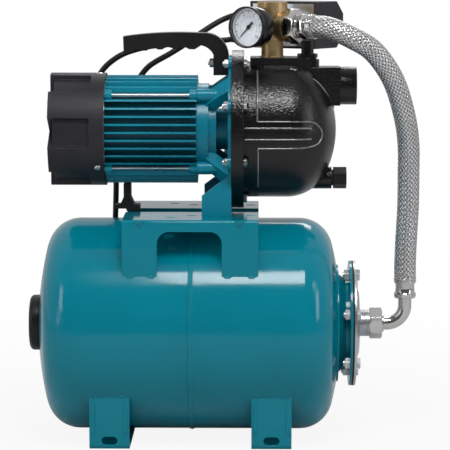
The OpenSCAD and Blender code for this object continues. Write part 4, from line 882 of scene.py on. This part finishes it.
@dataclass
class Hose:
    """Braided hose between the fitting's large port and the tank's elbow."""

    radius: float = 14.0
    exit_reach: float = 64.0
    elbow_x: float = 272.0

    def line(self) -> list[Vector]:
        """Returns the hose's centreline."""
        ex = self.elbow_x
        return spline([
            SET.from_ports(0, -self.exit_reach, 0), SET.from_ports(0, -self.exit_reach - 20, -1),
            *SET.route(SET.port_z, (198, -52, -12), (ex - 45, -50, -30), (ex - 20, -38, -65),
                       (ex - 5, -23, -108), (ex + 2, -10, -147)),
            *SET.route(SET.tank_z, (ex + 3, -3, 191), (ex + 3, 0, 150), (ex + 1, 0, 110), (ex, 0, 80),
                       (ex, 0, 60)),
        ], 10)

    def build(self) -> None:
        line = self.line()
        length = length_of(line)
        even = spaced(line, 90)
        made = tube("braided_hose", even, [self.radius * MM] * len(even), 28)
        finish = BraidFinish()
        made.data.materials.clear()
        made.data.materials.append(finish.build(length))
        Bench.smooth(made, 60)
        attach(made, "set")
        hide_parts("hose")
        [tuple(p) for p in spaced(line, 36)]
        LOG.info("braided_hose, %.3f m", length)


@dataclass
class Leads:
    """Motor lead, mains lead with its coil, and the plug."""

    radius: float = 3.75
    coil_mid: float = 41.0
    coil_turns: float = 2.5
    plug_r: float = 19.5
    upper: float = 12.0
    lower: float = -20.0
    gland_reach: float = 67.0
    gland_from: float = 77.0

    def motor_line(self) -> list[Vector]:
        """Returns the centreline of the motor lead."""
        return spline([
            self.gland(self.upper, 0), self.gland(self.upper, 12),
            *SET.route(SET.port_z, (53, 108.7, 10.5), (41, 110, 6.5), (28, 107, 0), (9, 97, -12),
                       (-11, 85, -26), (-32, 79, -39), (-50, 79, -49), (-62, 81, -58), (-74, 82.7, -74)),
            *SET.route(SET.motor_z, (-79, 83, 43)),
        ], 8)

    def mains_line(self) -> list[Vector]:
        """Returns the centreline of the mains lead down to its coil."""
        back = SET.tank_r
        return spline([
            self.gland(self.lower, 0), self.gland(self.lower, 12),
            *SET.route(SET.port_z, (53, 108.8, -20.5), (41, 110.8, -22), (28, 109, -23), (0, 101, -25),
                       (-33, 92, -27), (-66, 83, -31), (-98, 77, -42), (-122, 78, -64), (-129, 84, -95)),
            *SET.route(SET.motor_z, (-121, 90, -6), (-105, 95, -46)),
            SET.round_tank(-105, 32, 52), SET.round_tank(-109, 20, 38), SET.round_tank(-110, 10.5, 22),
            SET.round_tank(-110, 8.5, 6), SET.round_tank(-110, 15, -13),
            *SET.route(0.0, (-110, back + 15, 60), (-110, back + 21.5, 37), (-110, back + 33, 17.5),
                       (-110, back + 46, 7.5), (-110, back + 64, self.radius)),
        ], 8)

    def coil_line(self) -> list[Vector]:
        """Returns the coil's turns and the short tail into the plug."""
        line = []
        steps = round(self.coil_turns * 24)
        centre = (self.coil_mid - 110.0, SET.tank_r + 70.0)
        for i in range(steps + 1):
            turned = i / steps * self.coil_turns
            angle = math.pi - 2 * math.pi * turned
            line.append(SET.place(centre[0] + self.coil_mid * math.cos(angle),
                                  centre[1] + self.coil_mid * math.sin(angle),
                                  self.radius + 2 * self.radius * turned))
        end_x = centre[0] + self.coil_mid
        for y, z in ((-8, 22.2), (-16, 21.2), (-23, 20.2), (-32, 19.5), (-48, 19.5)):
            line.append(SET.place(end_x, centre[1] + y, z))
        return line

    def gland(self, up: float, out: float) -> Vector:
        """Returns a point out of one of the switch's glands."""
        return SET.from_ports(self.gland_reach, self.gland_from + out, up)

    def relief(self, shop: Shop, name: str, line: Sequence[Vector], reach: float, base: float) -> Piece:
        """Tapered sleeve over the start of a lead, with shallow grooves.

        Args:
            shop: Shop that takes the piece.
            name: Name of the sleeve.
            line: Centreline of the lead from its exit on.
            reach: Length of the sleeve in metres.
            base: Radius at its root in millimetres.

        Returns:
            The sleeve.
        """
        own, walked = [line[0].copy()], 0.0
        for a, b in zip(line, line[1:]):
            walked += (b - a).length
            own.append(b.copy())
            if walked >= reach:
                break
        own = spaced(own, 25)
        radii = []
        for i in range(len(own)):
            share = i / (len(own) - 1)
            groove = 0.5 if 0.1 < share < 0.9 and i % 3 == 1 else 0.0
            radii.append((base + (self.radius + 0.5 - base) * share - groove) * MM)
        return shop.hand_over(tube(name, own, radii, 20), JACKET)

    def build(self, shop: Shop) -> None:
        """Makes both leads, their sleeves and the plug."""
        motor = self.motor_line()
        mains = self.mains_line()
        whole = spaced(mains, 110) + self.coil_line()
        self.one(shop, "motor_lead_round", spaced(motor, 60), ("motor_lead",), 24, (
            self.relief(shop, "motor_lead_sleeve", motor, 0.022, 6.2),))
        plug = Plug().build(shop, self.plug_r)
        self.one(shop, "mains_lead_round", whole, ("mains_lead", "mains_coil"), 0, (
            self.relief(shop, "mains_lead_sleeve", mains, 0.026, 6.2), *plug))

    def one(self, shop: Shop, name: str, line: list[Vector], stands_for: tuple[str, ...],
            points: int,
            extras: tuple[Piece, ...]) -> None:
        made = shop.hand_over(tube(name, line, [self.radius * MM] * len(line), 14), JACKET, "set",
                              stands_for, 60)
        path = spaced(line, points) if points else line
        LOG.info("%s, %.3f m", name, length_of(line))


@dataclass
class Plug:
    """Round mains plug that lies on its side, with two pins."""

    tip_y: float = 182.0
    sleeve: float = 26.0
    body_len: float = 36.0
    centre_x: float = -68.0

    def build(self, shop: Shop, radius: float) -> tuple[Piece, ...]:
        """Returns the plug's body and pins."""
        tip = self.tip_y - self.sleeve
        face = tip - self.body_len
        centre = (self.centre_x, face, radius)
        outline = [(0, 0), (0, radius - 3.2), (0.8, radius - 1.2), (2.4, radius - 0.4), (5, radius - 0.1),
                   (14, radius - 0.1), (16, radius - 1.4), (20, radius - 1.8), (26, radius - 3),
                   (31, radius - 6.5), (34.5, radius - 10), (37, 8.4), (44, 7.2), (45, 6.5), (47, 6.9),
                   (48, 6.2), (50, 6.6), (51, 5.8), (53, 6.1), (54, 5.3), (57, 5.3), (61.5, 4.5), (62, 3.6),
                   (62, 0)]
        body = shop.hand_over(Bench.turned("plug_body", outline, centre, Axis.Y, 48), BLACK_MOULDED, "set",
                              ("mains_plug",), 40)
        pins = []
        for side in (-1, 1):
            pin = Bench.turned(f"plug_pin_{'left' if side < 0 else 'right'}",
                               [(-19, 0), (-19, 1.4), (-18, 2.2), (-16, 2.4), (0.5, 2.4), (0.5, 0)],
                               (self.centre_x + side * 9.5, face, radius), Axis.Y, 20)
            pins.append(shop.hand_over(pin, CHROME, angle=40))
        return (body, *pins)


def from_seam(x: float, y: float, z: float) -> Point:
    """Returns a point given from the weld seam as one in the row frame, in millimetres."""
    return (x + SET.seam_x, y, z)


# Turns what is drawn flat so that it faces +X with its top towards +Z
FACING_X = Matrix(((0, 0, 1, 0), (1, 0, 0, 0), (0, 1, 0, 0), (0, 0, 0, 1)))


@dataclass
class Gauge:
    """Pressure gauge, drawn with its face towards local +X and then turned on the fitting."""

    port_face: float = 22.0
    back: float = 32.0
    face: float = 62.0
    case_r: float = 25.0
    rim_r: float = 26.0
    dial_x: float = 54.0
    dial_r: float = 23.4
    pin_r: float = 1.2
    needle_len: float = 17.0
    zero: float = 135.0
    sweep: float = 270.0
    top_value: int = 10
    parts: int = 5
    scale_in: float = 2.6
    figure_in: float = 7.6
    figure_size: float = 4.8

    def build(self, shop: Shop) -> None:
        """Makes the case, stem, dial, marks, pointer and window."""
        place = SET.ports_frame(-90.0)
        for piece, finish, body, stands_for in (
            (self.housing(), GLOSS_BLACK, "set", ("gauge_case",)),
            (self.stem(), BRASS, "set", ()),
            (self.dial(), DIAL, "set", ("gauge_dial",)),
            (self.marks(), INK, "set", ()),
            (self.pointer(), BLACK_MOULDED, shop.body("gauge_needle"), ("gauge_needle",)),
            (self.window(), GlassFinish(), "set", ("gauge_glass",)),
        ):
            piece.data.transform(place)
            shop.hand_over(piece, finish, body, stands_for, 40)

    def housing(self) -> Piece:
        """Returns the case with its stepped rim."""
        f, b, r = self.face, self.back, self.case_r
        return Bench.turned("gauge_housing", [
            (b, 7), (b, r - 2.2), (b + 0.7, r - 0.7), (b + 2.2, r), (f - 8.6, r), (f - 8, r - 0.5),
            (f - 7.2, r - 0.5),
            (f - 6.6, self.rim_r - 0.3), (f - 5.8, self.rim_r), (f - 1.2, self.rim_r),
            (f - 0.3, self.rim_r - 0.5),
            (f, self.rim_r - 1.2), (f - 0.2, self.rim_r - 1.8), (f - 1.4, self.rim_r - 2.3),
            (f - 9.4, self.rim_r - 2.4),
            (f - 9.4, 7), (b, 7)], steps=96)

    def stem(self) -> Piece:
        """Returns the brass stem with its hexagon."""
        nut = Bench.nut("gauge_stem", (self.port_face + 5, 0, 0), 14, 8, Axis.X)
        neck = Bench.turned("gauge_stem_neck", [(self.port_face - 6, 0), (self.port_face - 6, 6.2),
                                                (self.port_face + 1, 6.2), (self.port_face + 1, 6.8),
                                                (self.back + 1, 6.8), (self.back + 1, 0)],
                            steps=40)
        return Bench.join([nut, neck], "gauge_stem")

    def dial(self) -> Piece:
        """Returns the dial, dished at its edge."""
        x, r = self.dial_x, self.dial_r
        return Bench.turned("gauge_face", [(x - 1, self.pin_r + 0.1), (x - 1, r), (x + 0.9, r),
                                           (x + 0.9, r - 0.5), (x, r - 1.6), (x, self.pin_r + 0.1),
                                           (x - 1, self.pin_r + 0.1)],
                            steps=96)

    def spoke(self, share: float) -> Matrix:
        """Returns the turn that puts an upright mark at a share of the scale."""
        return Matrix.Rotation(math.radians(self.zero - self.sweep * share), 4, "X")

    def marks(self) -> Piece:
        """Returns the scale: two arcs, graduations and plain numerals."""
        x, count = self.dial_x, self.top_value * self.parts
        made = []
        for name, reach, width in (("fine_mark", 1.7, 0.2), ("main_mark", 3.2, 0.42)):
            r, tip = self.dial_r - self.scale_in, width * 0.8
            mark = Bench.pressed(name, [(x, -width, r), (x, width, r), (x, tip, r - reach),
                                        (x, -tip, r - reach)],
                                 (0.08, 0, 0))
            for i in range(count + 1):
                if (i % self.parts == 0) == (name == "main_mark"):
                    made.append(Bench.copy(mark, f"{name}_{i}", self.spoke(i / count)))
            bpy.data.objects.remove(mark, do_unlink=True)
        for name, r, width in (("scale_arc", self.dial_r - self.scale_in, 0.3), ("inner_arc", 12.2, 0.22)):
            made.append(self.arc(name, r, width))
        for value in range(0, self.top_value + 1, 2):
            turn = self.spoke(value / self.top_value) @ Vector((0, 0, self.dial_r - self.figure_in))
            upright = Matrix.Translation((turn + Vector((x, 0, 0))) * MM) @ FACING_X
            made.append(Bench.figures(f"numeral_{value}", str(value), self.figure_size, upright))
        return Bench.join(made, "gauge_marks")

    def arc(self, name: str, radius: float, width: float) -> Piece:
        """Returns a thin raised arc over the scale's sweep."""
        x = self.dial_x
        section = [(x, 0, radius), (x + 0.08, 0, radius), (x + 0.08, 0, radius - width),
                   (x, 0, radius - width), (x, 0, radius)]
        Bench.chain(name, section)
        bpy.ops.mesh.select_all(action="SELECT")
        bpy.ops.mesh.remove_doubles(threshold=MERGE)
        bpy.ops.mesh.edge_face_add()
        bpy.ops.mesh.spin(steps=72, angle=math.radians(self.sweep), center=(0, 0, 0), axis=(1, 0, 0))
        arc = Bench.close(FINE_MERGE)
        middle = arc.data.vertices[len(arc.data.vertices) // 2].co
        now = math.degrees(math.atan2(-middle.y, middle.z))
        arc.data.transform(Matrix.Rotation(math.radians(-now), 4, "X"))
        return arc

    def pointer(self) -> Piece:
        """Returns the pointer with its counterweight and boss, at the scale's zero."""
        x, tip = self.dial_x + 0.6, self.needle_len
        outline = [(x, 0, tip), (x, -0.4, tip - 1.5), (x, -0.75, 3.4), (x, -2.0, 2.2), (x, -2.9, 0),
                   (x, -2.0, -2.2), (x, -1.3, -3.2), (x, -2.0, -8.5), (x, 2.0, -8.5), (x, 1.3, -3.2),
                   (x, 2.0, -2.2), (x, 2.9, 0), (x, 2.0, 2.2), (x, 0.75, 3.4), (x, 0.4, tip - 1.5)]
        blade = Bench.pressed("gauge_pointer", outline, (0.6, 0, 0))
        boss = Bench.turned("pointer_boss", [(self.dial_x - 1.2, 0), (self.dial_x - 1.2, self.pin_r),
                                             (x, self.pin_r), (x, 2.3), (x + 1.4, 2.2), (x + 1.9, 1.5),
                                             (x + 2, 0)], steps=32)
        joined = Bench.join([blade, boss], "gauge_pointer")
        joined.data.transform(self.spoke(0.0))
        return joined

    def window(self) -> Piece:
        """Returns the slightly domed window."""
        f, r = self.face, self.rim_r - 2.4
        return Bench.turned("gauge_window", [(f - 4, 0), (f - 4, r), (f - 2.7, r), (f - 2.3, r - 5),
                                             (f - 2.05, r - 12), (f - 2, 0)],
                            steps=96)


@dataclass
class HoseEnds:
    """Union at the fitting, and the elbow, nuts and ferrule at the tank."""

    elbow_x: float = 272.0
    bend: float = 23.0
    tube_r: float = 8.5
    nipple_end: float = 240.02
    steps: int = 64

    def build(self, shop: Shop) -> None:
        """Makes both ends."""
        union = Bench.join([
            Bench.turned("union_collar", [(16, 12), (16, 15), (24.2, 15), (24.2, 17.4), (24.8, 18),
                                          (26.2, 18), (26.6, 16.6), (39.6, 16.6), (40.2, 14.6), (43.4, 14.2),
                                          (43.6, 12), (16, 12)],
                         steps=self.steps),
            Bench.nut("union_nut", (33.6, 0, 0), 38, 14, Axis.X),
            Bench.nut("tail_nut", (48.2, 0, 0), 27, 9.4, Axis.X),
            Bench.turned("tail_neck", [(52, 8), (52, 12.4), (53.4, 12.4), (53.8, 11), (56.2, 11),
                                       (56.2, 14.2), (56.8, 15.5), (58.4, 15.5), (58.8, 14.7), (59.8, 14.7),
                                       (60.2, 15.5), (61.4, 15.5), (61.8, 14.7), (62.8, 14.7), (63.2, 15.4),
                                       (64, 15.2), (64, 12), (56.2, 12), (56.2, 8), (52, 8)],
                         steps=self.steps),
        ], "hose_union")
        union.data.transform(SET.ports_frame(0.0))
        shop.hand_over(union, CHROME, "set", ("hose_fittings",), 30)
        z = SET.tank_z
        start = self.elbow_x - self.bend
        line = [SET.place(self.nipple_end + 1, 0, z), SET.place(start - 3, 0, z)]
        line += [SET.place(start + self.bend * math.sin(a), 0, z + self.bend * (1 - math.cos(a)))
                 for a in (math.radians(90 * i / 14) for i in range(15))]
        line.append(SET.place(self.elbow_x, 0, z + self.bend + 13))
        collar = Bench.turned("elbow_collar", [(241.6, 7), (241.6, 10.6), (242.4, 11.4), (244.4, 11.4),
                                               (245, 10.2), (245.2, 7), (241.6, 7)], from_seam(0, 0, z),
                                               Axis.X, self.steps)
        ferrule = Bench.turned("elbow_ferrule", [
            (33, 6), (33, 12.6), (34, 13.6), (36, 14), (38.8, 14), (40, 13.2), (41.5, 12.3), (46, 12),
            (50.5, 12.2), (52, 13), (53.6, 14.2), (55, 14.5), (55.6, 13.7), (56.6, 13.7), (57.2, 14.5),
            (58.6, 14.5), (59.2, 13.8), (60, 13.8), (60, 11), (40, 9),
            (33, 6)], from_seam(self.elbow_x, 0, z), Axis.Z, self.steps)
        elbow = Bench.join([tube("elbow_tube", line, [self.tube_r * MM] * len(line), 32), collar, ferrule,
                            Bench.nut("elbow_nut", from_seam(self.nipple_end - 5.6, 0, z), 35, 16.6,
                                      Axis.X)], "tank_elbow")
        shop.hand_over(elbow, CHROME, angle=30)


@dataclass
class Ports:
    """Brass fitting, gauge, switch cover and what shows on them."""

    cover_out: float = 113.0
    cover_mid: float = 12.5

    def build(self, shop: Shop) -> None:
        """Makes the top group."""
        Gauge().build(shop)
        HoseEnds().build(shop)
        shop.refine("five_way_fitting", BRASS, 0.7)
        shop.refine("switch_cover", GREY_MOULDED, 1.4, segments=3)
        shop.refine("switch_base", ZINC, 0.4)
        self.screw(shop)

    def screw(self, shop: Shop) -> None:
        """Makes the cover's slotted screw in its recess."""
        x, y = self.cover_out, self.cover_mid
        head = Bench.turned("cover_screw", [(x - 3, 0), (x - 3, 4.4), (x - 0.9, 4.4), (x - 0.3, 3.6),
                                            (x, 1.8), (x, 0)],
                            (0, y, 0), Axis.X, 32)
        Bench.cut(head, Bench.block("screw_slot", (x, y, 0), (1.6, 1.1, 12)))
        head.data.transform(SET.ports_frame(90.0))
        shop.hand_over(head, ZINC, angle=40)


@dataclass
class Tank:
    """Tank, neck, feet and platform."""

    nipple_r: float = 16.6
    thread_from: float = 214.0
    thread_to: float = 226.0
    thread_pitch: float = 2.3
    foot_x: float = 100.8
    foot_y: float = 112.0
    gusset_x: tuple[float, float] = (-63.0, 61.0)
    gusset_half: float = 7.5
    gusset_drop: float = 11.0
    weld_r: float = 3.2
    weld_shape: Point = (1.5, 0.5, 0.8)
    foot_weld_step: float = 17.0
    leg_weld_x: tuple[float, ...] = (-74.4, -48.5, 46.0, 76.0)
    rib_count: int = 24

    def build(self, shop: Shop) -> None:
        """Makes the tank group."""
        for node, finish, width in (
            ("foot_left", TEAL, 0.8), ("foot_right", TEAL, 0.8), ("platform", TEAL, 0.9),
            ("valve_cap", BLACK_MOULDED, 1.2), ("counter_flange", ZINC, 0.5), ("flange_bolts", ZINC, 0.35),
            ("mounting_bolts", ZINC, 0.35), ("motor_rest", RUBBER, 1.0),
        ):
            shop.refine(node, finish, width)
        self.threads(shop)
        self.gussets(shop)
        self.weld_spots(shop)
        self.cap_ribs(shop)

    def threads(self, shop: Shop) -> None:
        """Makes the threads that show on the tank's nipple."""
        profile = [(self.thread_from, self.nipple_r - 1)]
        x = self.thread_from
        while x + self.thread_pitch <= self.thread_to:
            profile += [(x, self.nipple_r - 0.4), (x + self.thread_pitch / 2, self.nipple_r + 0.7)]
            x += self.thread_pitch
        profile += [(x, self.nipple_r - 0.4), (x, self.nipple_r - 1), profile[0]]
        thread = Bench.turned("nipple_thread", profile, from_seam(0, 0, SET.tank_z), Axis.X, 64)
        shop.hand_over(thread, ZINC, angle=25)

    def gussets(self, shop: Shop) -> None:
        """Makes the pressed corner gussets under the platform's front and rear edges."""
        made = []
        for x in self.gusset_x:
            for side in (-1, 1):
                top = from_seam(x, side * self.foot_y, SET.platform_z - 0.8)
                made.append(self.dart(f"gusset_{round(x)}_{side}", top, self.gusset_half, self.gusset_drop,
                                      side))
        shop.hand_over(Bench.join(made, "platform_gussets"), TEAL, angle=40)

    @staticmethod
    def dart(name: str, top: Point, half: float, drop: float, side: int) -> Piece:
        """Presses one corner dart: a ridge that runs down to a point.

        Args:
            name: Name of the dart.
            top: Middle of its upper edge.
            half: Half its width at the top.
            drop: Its height.
            side: -1 for the front skirt and 1 for the rear one.

        Returns:
            The dart.
        """
        x, y, z = top
        inner = y - side * 0.4
        outline = [(x - half, inner, z), (x, y + side * 4.6, z), (x + half, inner, z)]
        Bench.chain(name, outline)
        bpy.ops.mesh.select_all(action="SELECT")
        bpy.ops.mesh.edge_face_add()
        bpy.ops.mesh.extrude_region_move(TRANSFORM_OT_translate={"value": (0, 0, -drop * MM)})
        bpy.ops.mesh.merge(type="CENTER")
        dart = Bench.close()
        low = min(dart.data.vertices, key=lambda vertex: vertex.co.z)
        low.co = Vector((x, inner, z - drop)) * MM
        return Bench.bevel(dart, 0.5, 2)

    def weld_spots(self, shop: Shop) -> None:
        """Makes the small weld beads that hold the feet and the platform on the barrel."""
        drop = math.sqrt(SET.tank_r ** 2 - self.foot_y ** 2)
        step = self.foot_weld_step
        feet = [(foot + off, SET.tank_z - drop + 1.5)
                for foot in (-self.foot_x, self.foot_x) for off in (-step, step)]
        legs = [(x, SET.tank_z + drop - 0.5) for x in self.leg_weld_x]
        made = []
        for x, z in feet + legs:
            for side in (-1, 1):
                Bench.clear()
                bpy.ops.mesh.primitive_ico_sphere_add(subdivisions=3, radius=self.weld_r * MM)
                bpy.context.active_object.scale = self.weld_shape
                spot = Bench.named("weld_spot")
                Bench.modify(spot, "DISPLACE", strength=0.0006, mid_level=0.5, texture=self.lumps())
                spot.data.transform(Matrix.Translation(SET.place(x, side * (self.foot_y + 0.3), z)))
                made.append(spot)
        shop.hand_over(Bench.join(made, "weld_beads"), TEAL, angle=60)

    @staticmethod
    def lumps() -> bpy.types.Texture:
        """Returns the clouds that make a weld bead uneven."""
        lumps = bpy.data.textures.get("weld_lumps") or bpy.data.textures.new("weld_lumps", "CLOUDS")
        lumps.noise_scale = 0.002
        return lumps

    def cap_ribs(self, shop: Shop) -> None:
        """Makes the grip ribs round the air valve's cap."""
        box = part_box("valve_cap")
        mid = (SET.tank_z, 0.5 * (box[0][1] + box[1][1]) / MM)
        x0, x1 = box[0][0] / MM, box[1][0] / MM
        reach = 0.5 * (box[1][1] - box[0][1]) / MM
        rib = Bench.block("cap_rib", (x0 + 6.6, mid[1], mid[0] + reach - 2.2), (x1 - x0 - 9.0, 1.8, 4.0))
        Bench.bevel(rib, 0.6, 2)
        made = [Bench.turn_about(Bench.copy(rib, f"cap_rib_{i}", Matrix()), Vector((0, mid[1], mid[0])) * MM,
                                 Vector(Axis.X.value),
                                 i * 360.0 / self.rib_count) for i in range(self.rib_count)]
        bpy.data.objects.remove(rib, do_unlink=True)
        shop.hand_over(Bench.join(made, "cap_ribs"), BLACK_MOULDED, shop.body("valve_cap"), (), 40)


@dataclass
class Motor:
    """Finned motor with its cover, terminal box, bracket and handle."""

    cover_r: float = 71.5
    screw_x: float = -117.0
    screw_turn: float = 8.5
    screw_count: int = 3

    def build(self, shop: Shop) -> None:
        """Makes the motor group."""
        for node, finish, width, segments in (
            ("motor_housing", FINS, 0.45, 1), ("motor_bracket", CAST_TEAL, 0.9, 2),
            ("rear_shield", ALLOY, 0.5, 2), ("fan_cover", GREY_MOULDED, 1.2, 3),
            ("terminal_box", BLACK_MOULDED, 1.4, 3), ("terminal_lid", BLACK_MOULDED, 1.2, 3),
            ("handle", BLACK_MOULDED, 3.2, 4), ("tie_rods", ZINC, 0.35, 2), ("casing_bolts", ZINC, 0.35, 2),
        ):
            shop.refine(node, finish, width, segments)
        self.cover_screws(shop)

    def cover_screws(self, shop: Shop) -> None:
        """Makes the fan cover's domed screws with their cross recesses."""
        head = Bench.turned("cover_screws", [(-9, 0), (-9, 2.1), (0, 2.1), (0, 4.2), (0.5, 4.1), (1.1, 3.3),
                                             (1.5, 2.0), (1.6, 0)],
                            (0, 0, 0), Axis.Z, 36)
        for size in ((5.4, 0.9, 1.4), (0.9, 5.4, 1.4)):
            Bench.cut(head, Bench.block("cross_recess", (0, 0, 1.5), size))
        made = []
        seat = Matrix.Translation((0, 0, self.cover_r * MM))
        for i in range(self.screw_count):
            turn = Matrix.Rotation(math.radians(self.screw_turn + 360.0 / self.screw_count * i), 4, "X")
            place = Matrix.Translation(SET.place(self.screw_x, 0, SET.motor_z)) @ turn @ seat
            made.append(Bench.copy(head, f"cover_screw_{i}", place))
        bpy.data.objects.remove(head, do_unlink=True)
        shop.hand_over(Bench.join(made, "cover_screws"), CHROME, "set", ("fan_cover_screws",), 30)


@dataclass
class Pump:
    """Cast pump casing with its plugs and raised lines."""

    barrel_r: float = 86.0
    barrel_end: float = 120.06
    knuckle: float = 55.0
    crown: float = 125.0
    nose_from: float = 169.4
    crown_base: float = 57.3
    line_r: float = 1.2
    panel_lift: float = 2.2
    rib_lift: float = 2.7

    def build(self, shop: Shop) -> None:
        """Makes the pump group."""
        shop.refine("pump_casing", CAST_BLACK, 1.1)
        shop.refine("casing_gasket", RUBBER, 0.2)
        for node in ("drain_plug", "priming_plug"):
            shop.refine(node, BLACK_MOULDED, 0.9)
        self.lines(shop)

    def radius_at(self, x: float) -> float:
        """Returns the casing's radius at a distance from the weld seam."""
        if x <= self.barrel_end:
            return self.barrel_r
        if x <= self.nose_from:
            return self.barrel_r - self.knuckle + math.sqrt(self.knuckle ** 2 - (x - self.barrel_end) ** 2)
        return math.sqrt(max(self.crown ** 2 - (x - self.crown_base) ** 2, 1.0))

    def on_casing(self, x: float, z: float, lift: float, side: int) -> Vector:
        """Returns a point lifted off the casing's surface, z above the shaft's axis."""
        r = self.radius_at(x) + lift
        return SET.place(x, side * math.sqrt(max(r * r - z * z, 0.0)), SET.motor_z + z)

    def lines(self, shop: Shop) -> None:
        """Makes the raised parting lines, rib crests and panel borders on both sides of the casing."""
        panel, rib = self.panel_lift, self.rib_lift
        routes = {
            "upright_upper": [(82.6, 76, panel), (82.6, 60, panel), (82.6, 38, panel), (82.6, 15.6, panel)],
            "panel_edge": [(82.6, 15.6, panel), (100, 15.6, panel), (120, 15.6, panel), (140, 15.4, panel),
                           (150, 14.4, 1.6), (155.5, 11.8, 0), (159, 8, 0), (161.8, 4, 0), (163, 0, 0),
                           (162.8, -4, 0), (161.5, -8, 0), (159, -11.6, 0), (155.5, -14, 0), (149, -15.8, 0),
                           (141.5, -17, 0), (126, -17.8, 0), (110.5, -18, 0), (97, -18, 0), (83.3, -18, 0)],
            "upper_rib": [(67.5, 7.6, rib), (90, 7.6, rib), (115, 7.6, rib), (135, 7.4, rib),
                          (149, 7.2, rib)],
            "lower_rib": [(67.5, -6.4, rib), (90, -6.4, rib), (115, -6.4, rib), (135, -6.3, rib),
                          (149, -6.2, rib)],
            "upright_lower": [(83.5, -18, 0), (83.5, -35, 0), (83.5, -52, 0), (83.5, -68, 0)],
            "arch_ridge": [(123.5, 78, 0), (136, 75, 0), (148.5, 68, 0), (158.5, 61, 0), (167.5, 50, 0),
                           (175.5, 38, 0), (179, 28, 0)],
        }
        made = []
        for side in (-1, 1):
            for name, route in routes.items():
                if side > 0 and name.endswith("rib"):
                    continue
                lifts = [(x, z, lift if side < 0 else 0.0) for x, z, lift in route]
                line = spline([self.on_casing(x, z, lift, side) for x, z, lift in lifts], 4)
                made.append(tube(f"{name}_{side}", line, [self.line_r * MM] * len(line), 12))
        shop.hand_over(Bench.join(made, "casing_lines"), SMOOTH_BLACK, angle=50)


BARE: tuple[tuple[Finish | GlassFinish, str], ...] = (
    (TEAL, "tank_shell_left tank_shell_right tank_neck foot_left foot_right platform"),
    (RUBBER, "bladder motor_rest casing_gasket seal_head drain_seal priming_seal"),
    (ZINC, "counter_flange flange_bolts mounting_bolts fan_cover_screws tie_rods casing_bolts"),
    (ZINC, "switch_base switch_lever"),
    (BRASS, "air_valve valve_pin impeller five_way_fitting switch_plunger"),
    (BLACK_MOULDED, "valve_cap fan drain_plug priming_plug handle terminal_box terminal_lid"),
    (BLACK_MOULDED, "gauge_case gauge_needle"),
    (GREY_MOULDED, "fan_cover switch_cover"),
    (ALLOY, "rear_shield"),
    (CAST_TEAL, "motor_housing motor_bracket"),
    (LAMINATION, "stator_core rotor_core"),
    (COPPER, "stator_windings"),
    (STEEL, "bearing_outer_rings bearing_balls bearing_inner_rings seal_plate shaft switch_springs"),
    (CAST_BLACK, "pump_casing"),
    (WHITE_MOULDED, "diffuser venturi"),
    (CERAMIC, "seal_seat"),
    (DIAL, "gauge_dial"),
    (GlassFinish(), "gauge_glass"),
    (CHROME, "hose_fittings"),
)


def main() -> None:
    """Builds and dresses the whole set."""
    logging.basicConfig(level=logging.INFO, format="%(message)s")
    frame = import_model()
    shop = Shop(frame)
    Studio().build()
    Hose().build()
    Leads().build(shop)
    for finish, nodes in BARE:
        for node in nodes.split():
            shop.dress(node, finish)
    for group in (Ports(), Tank(), Motor(), Pump()):
        group.build(shop)
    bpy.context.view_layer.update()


if __name__ == "__main__":
    main()
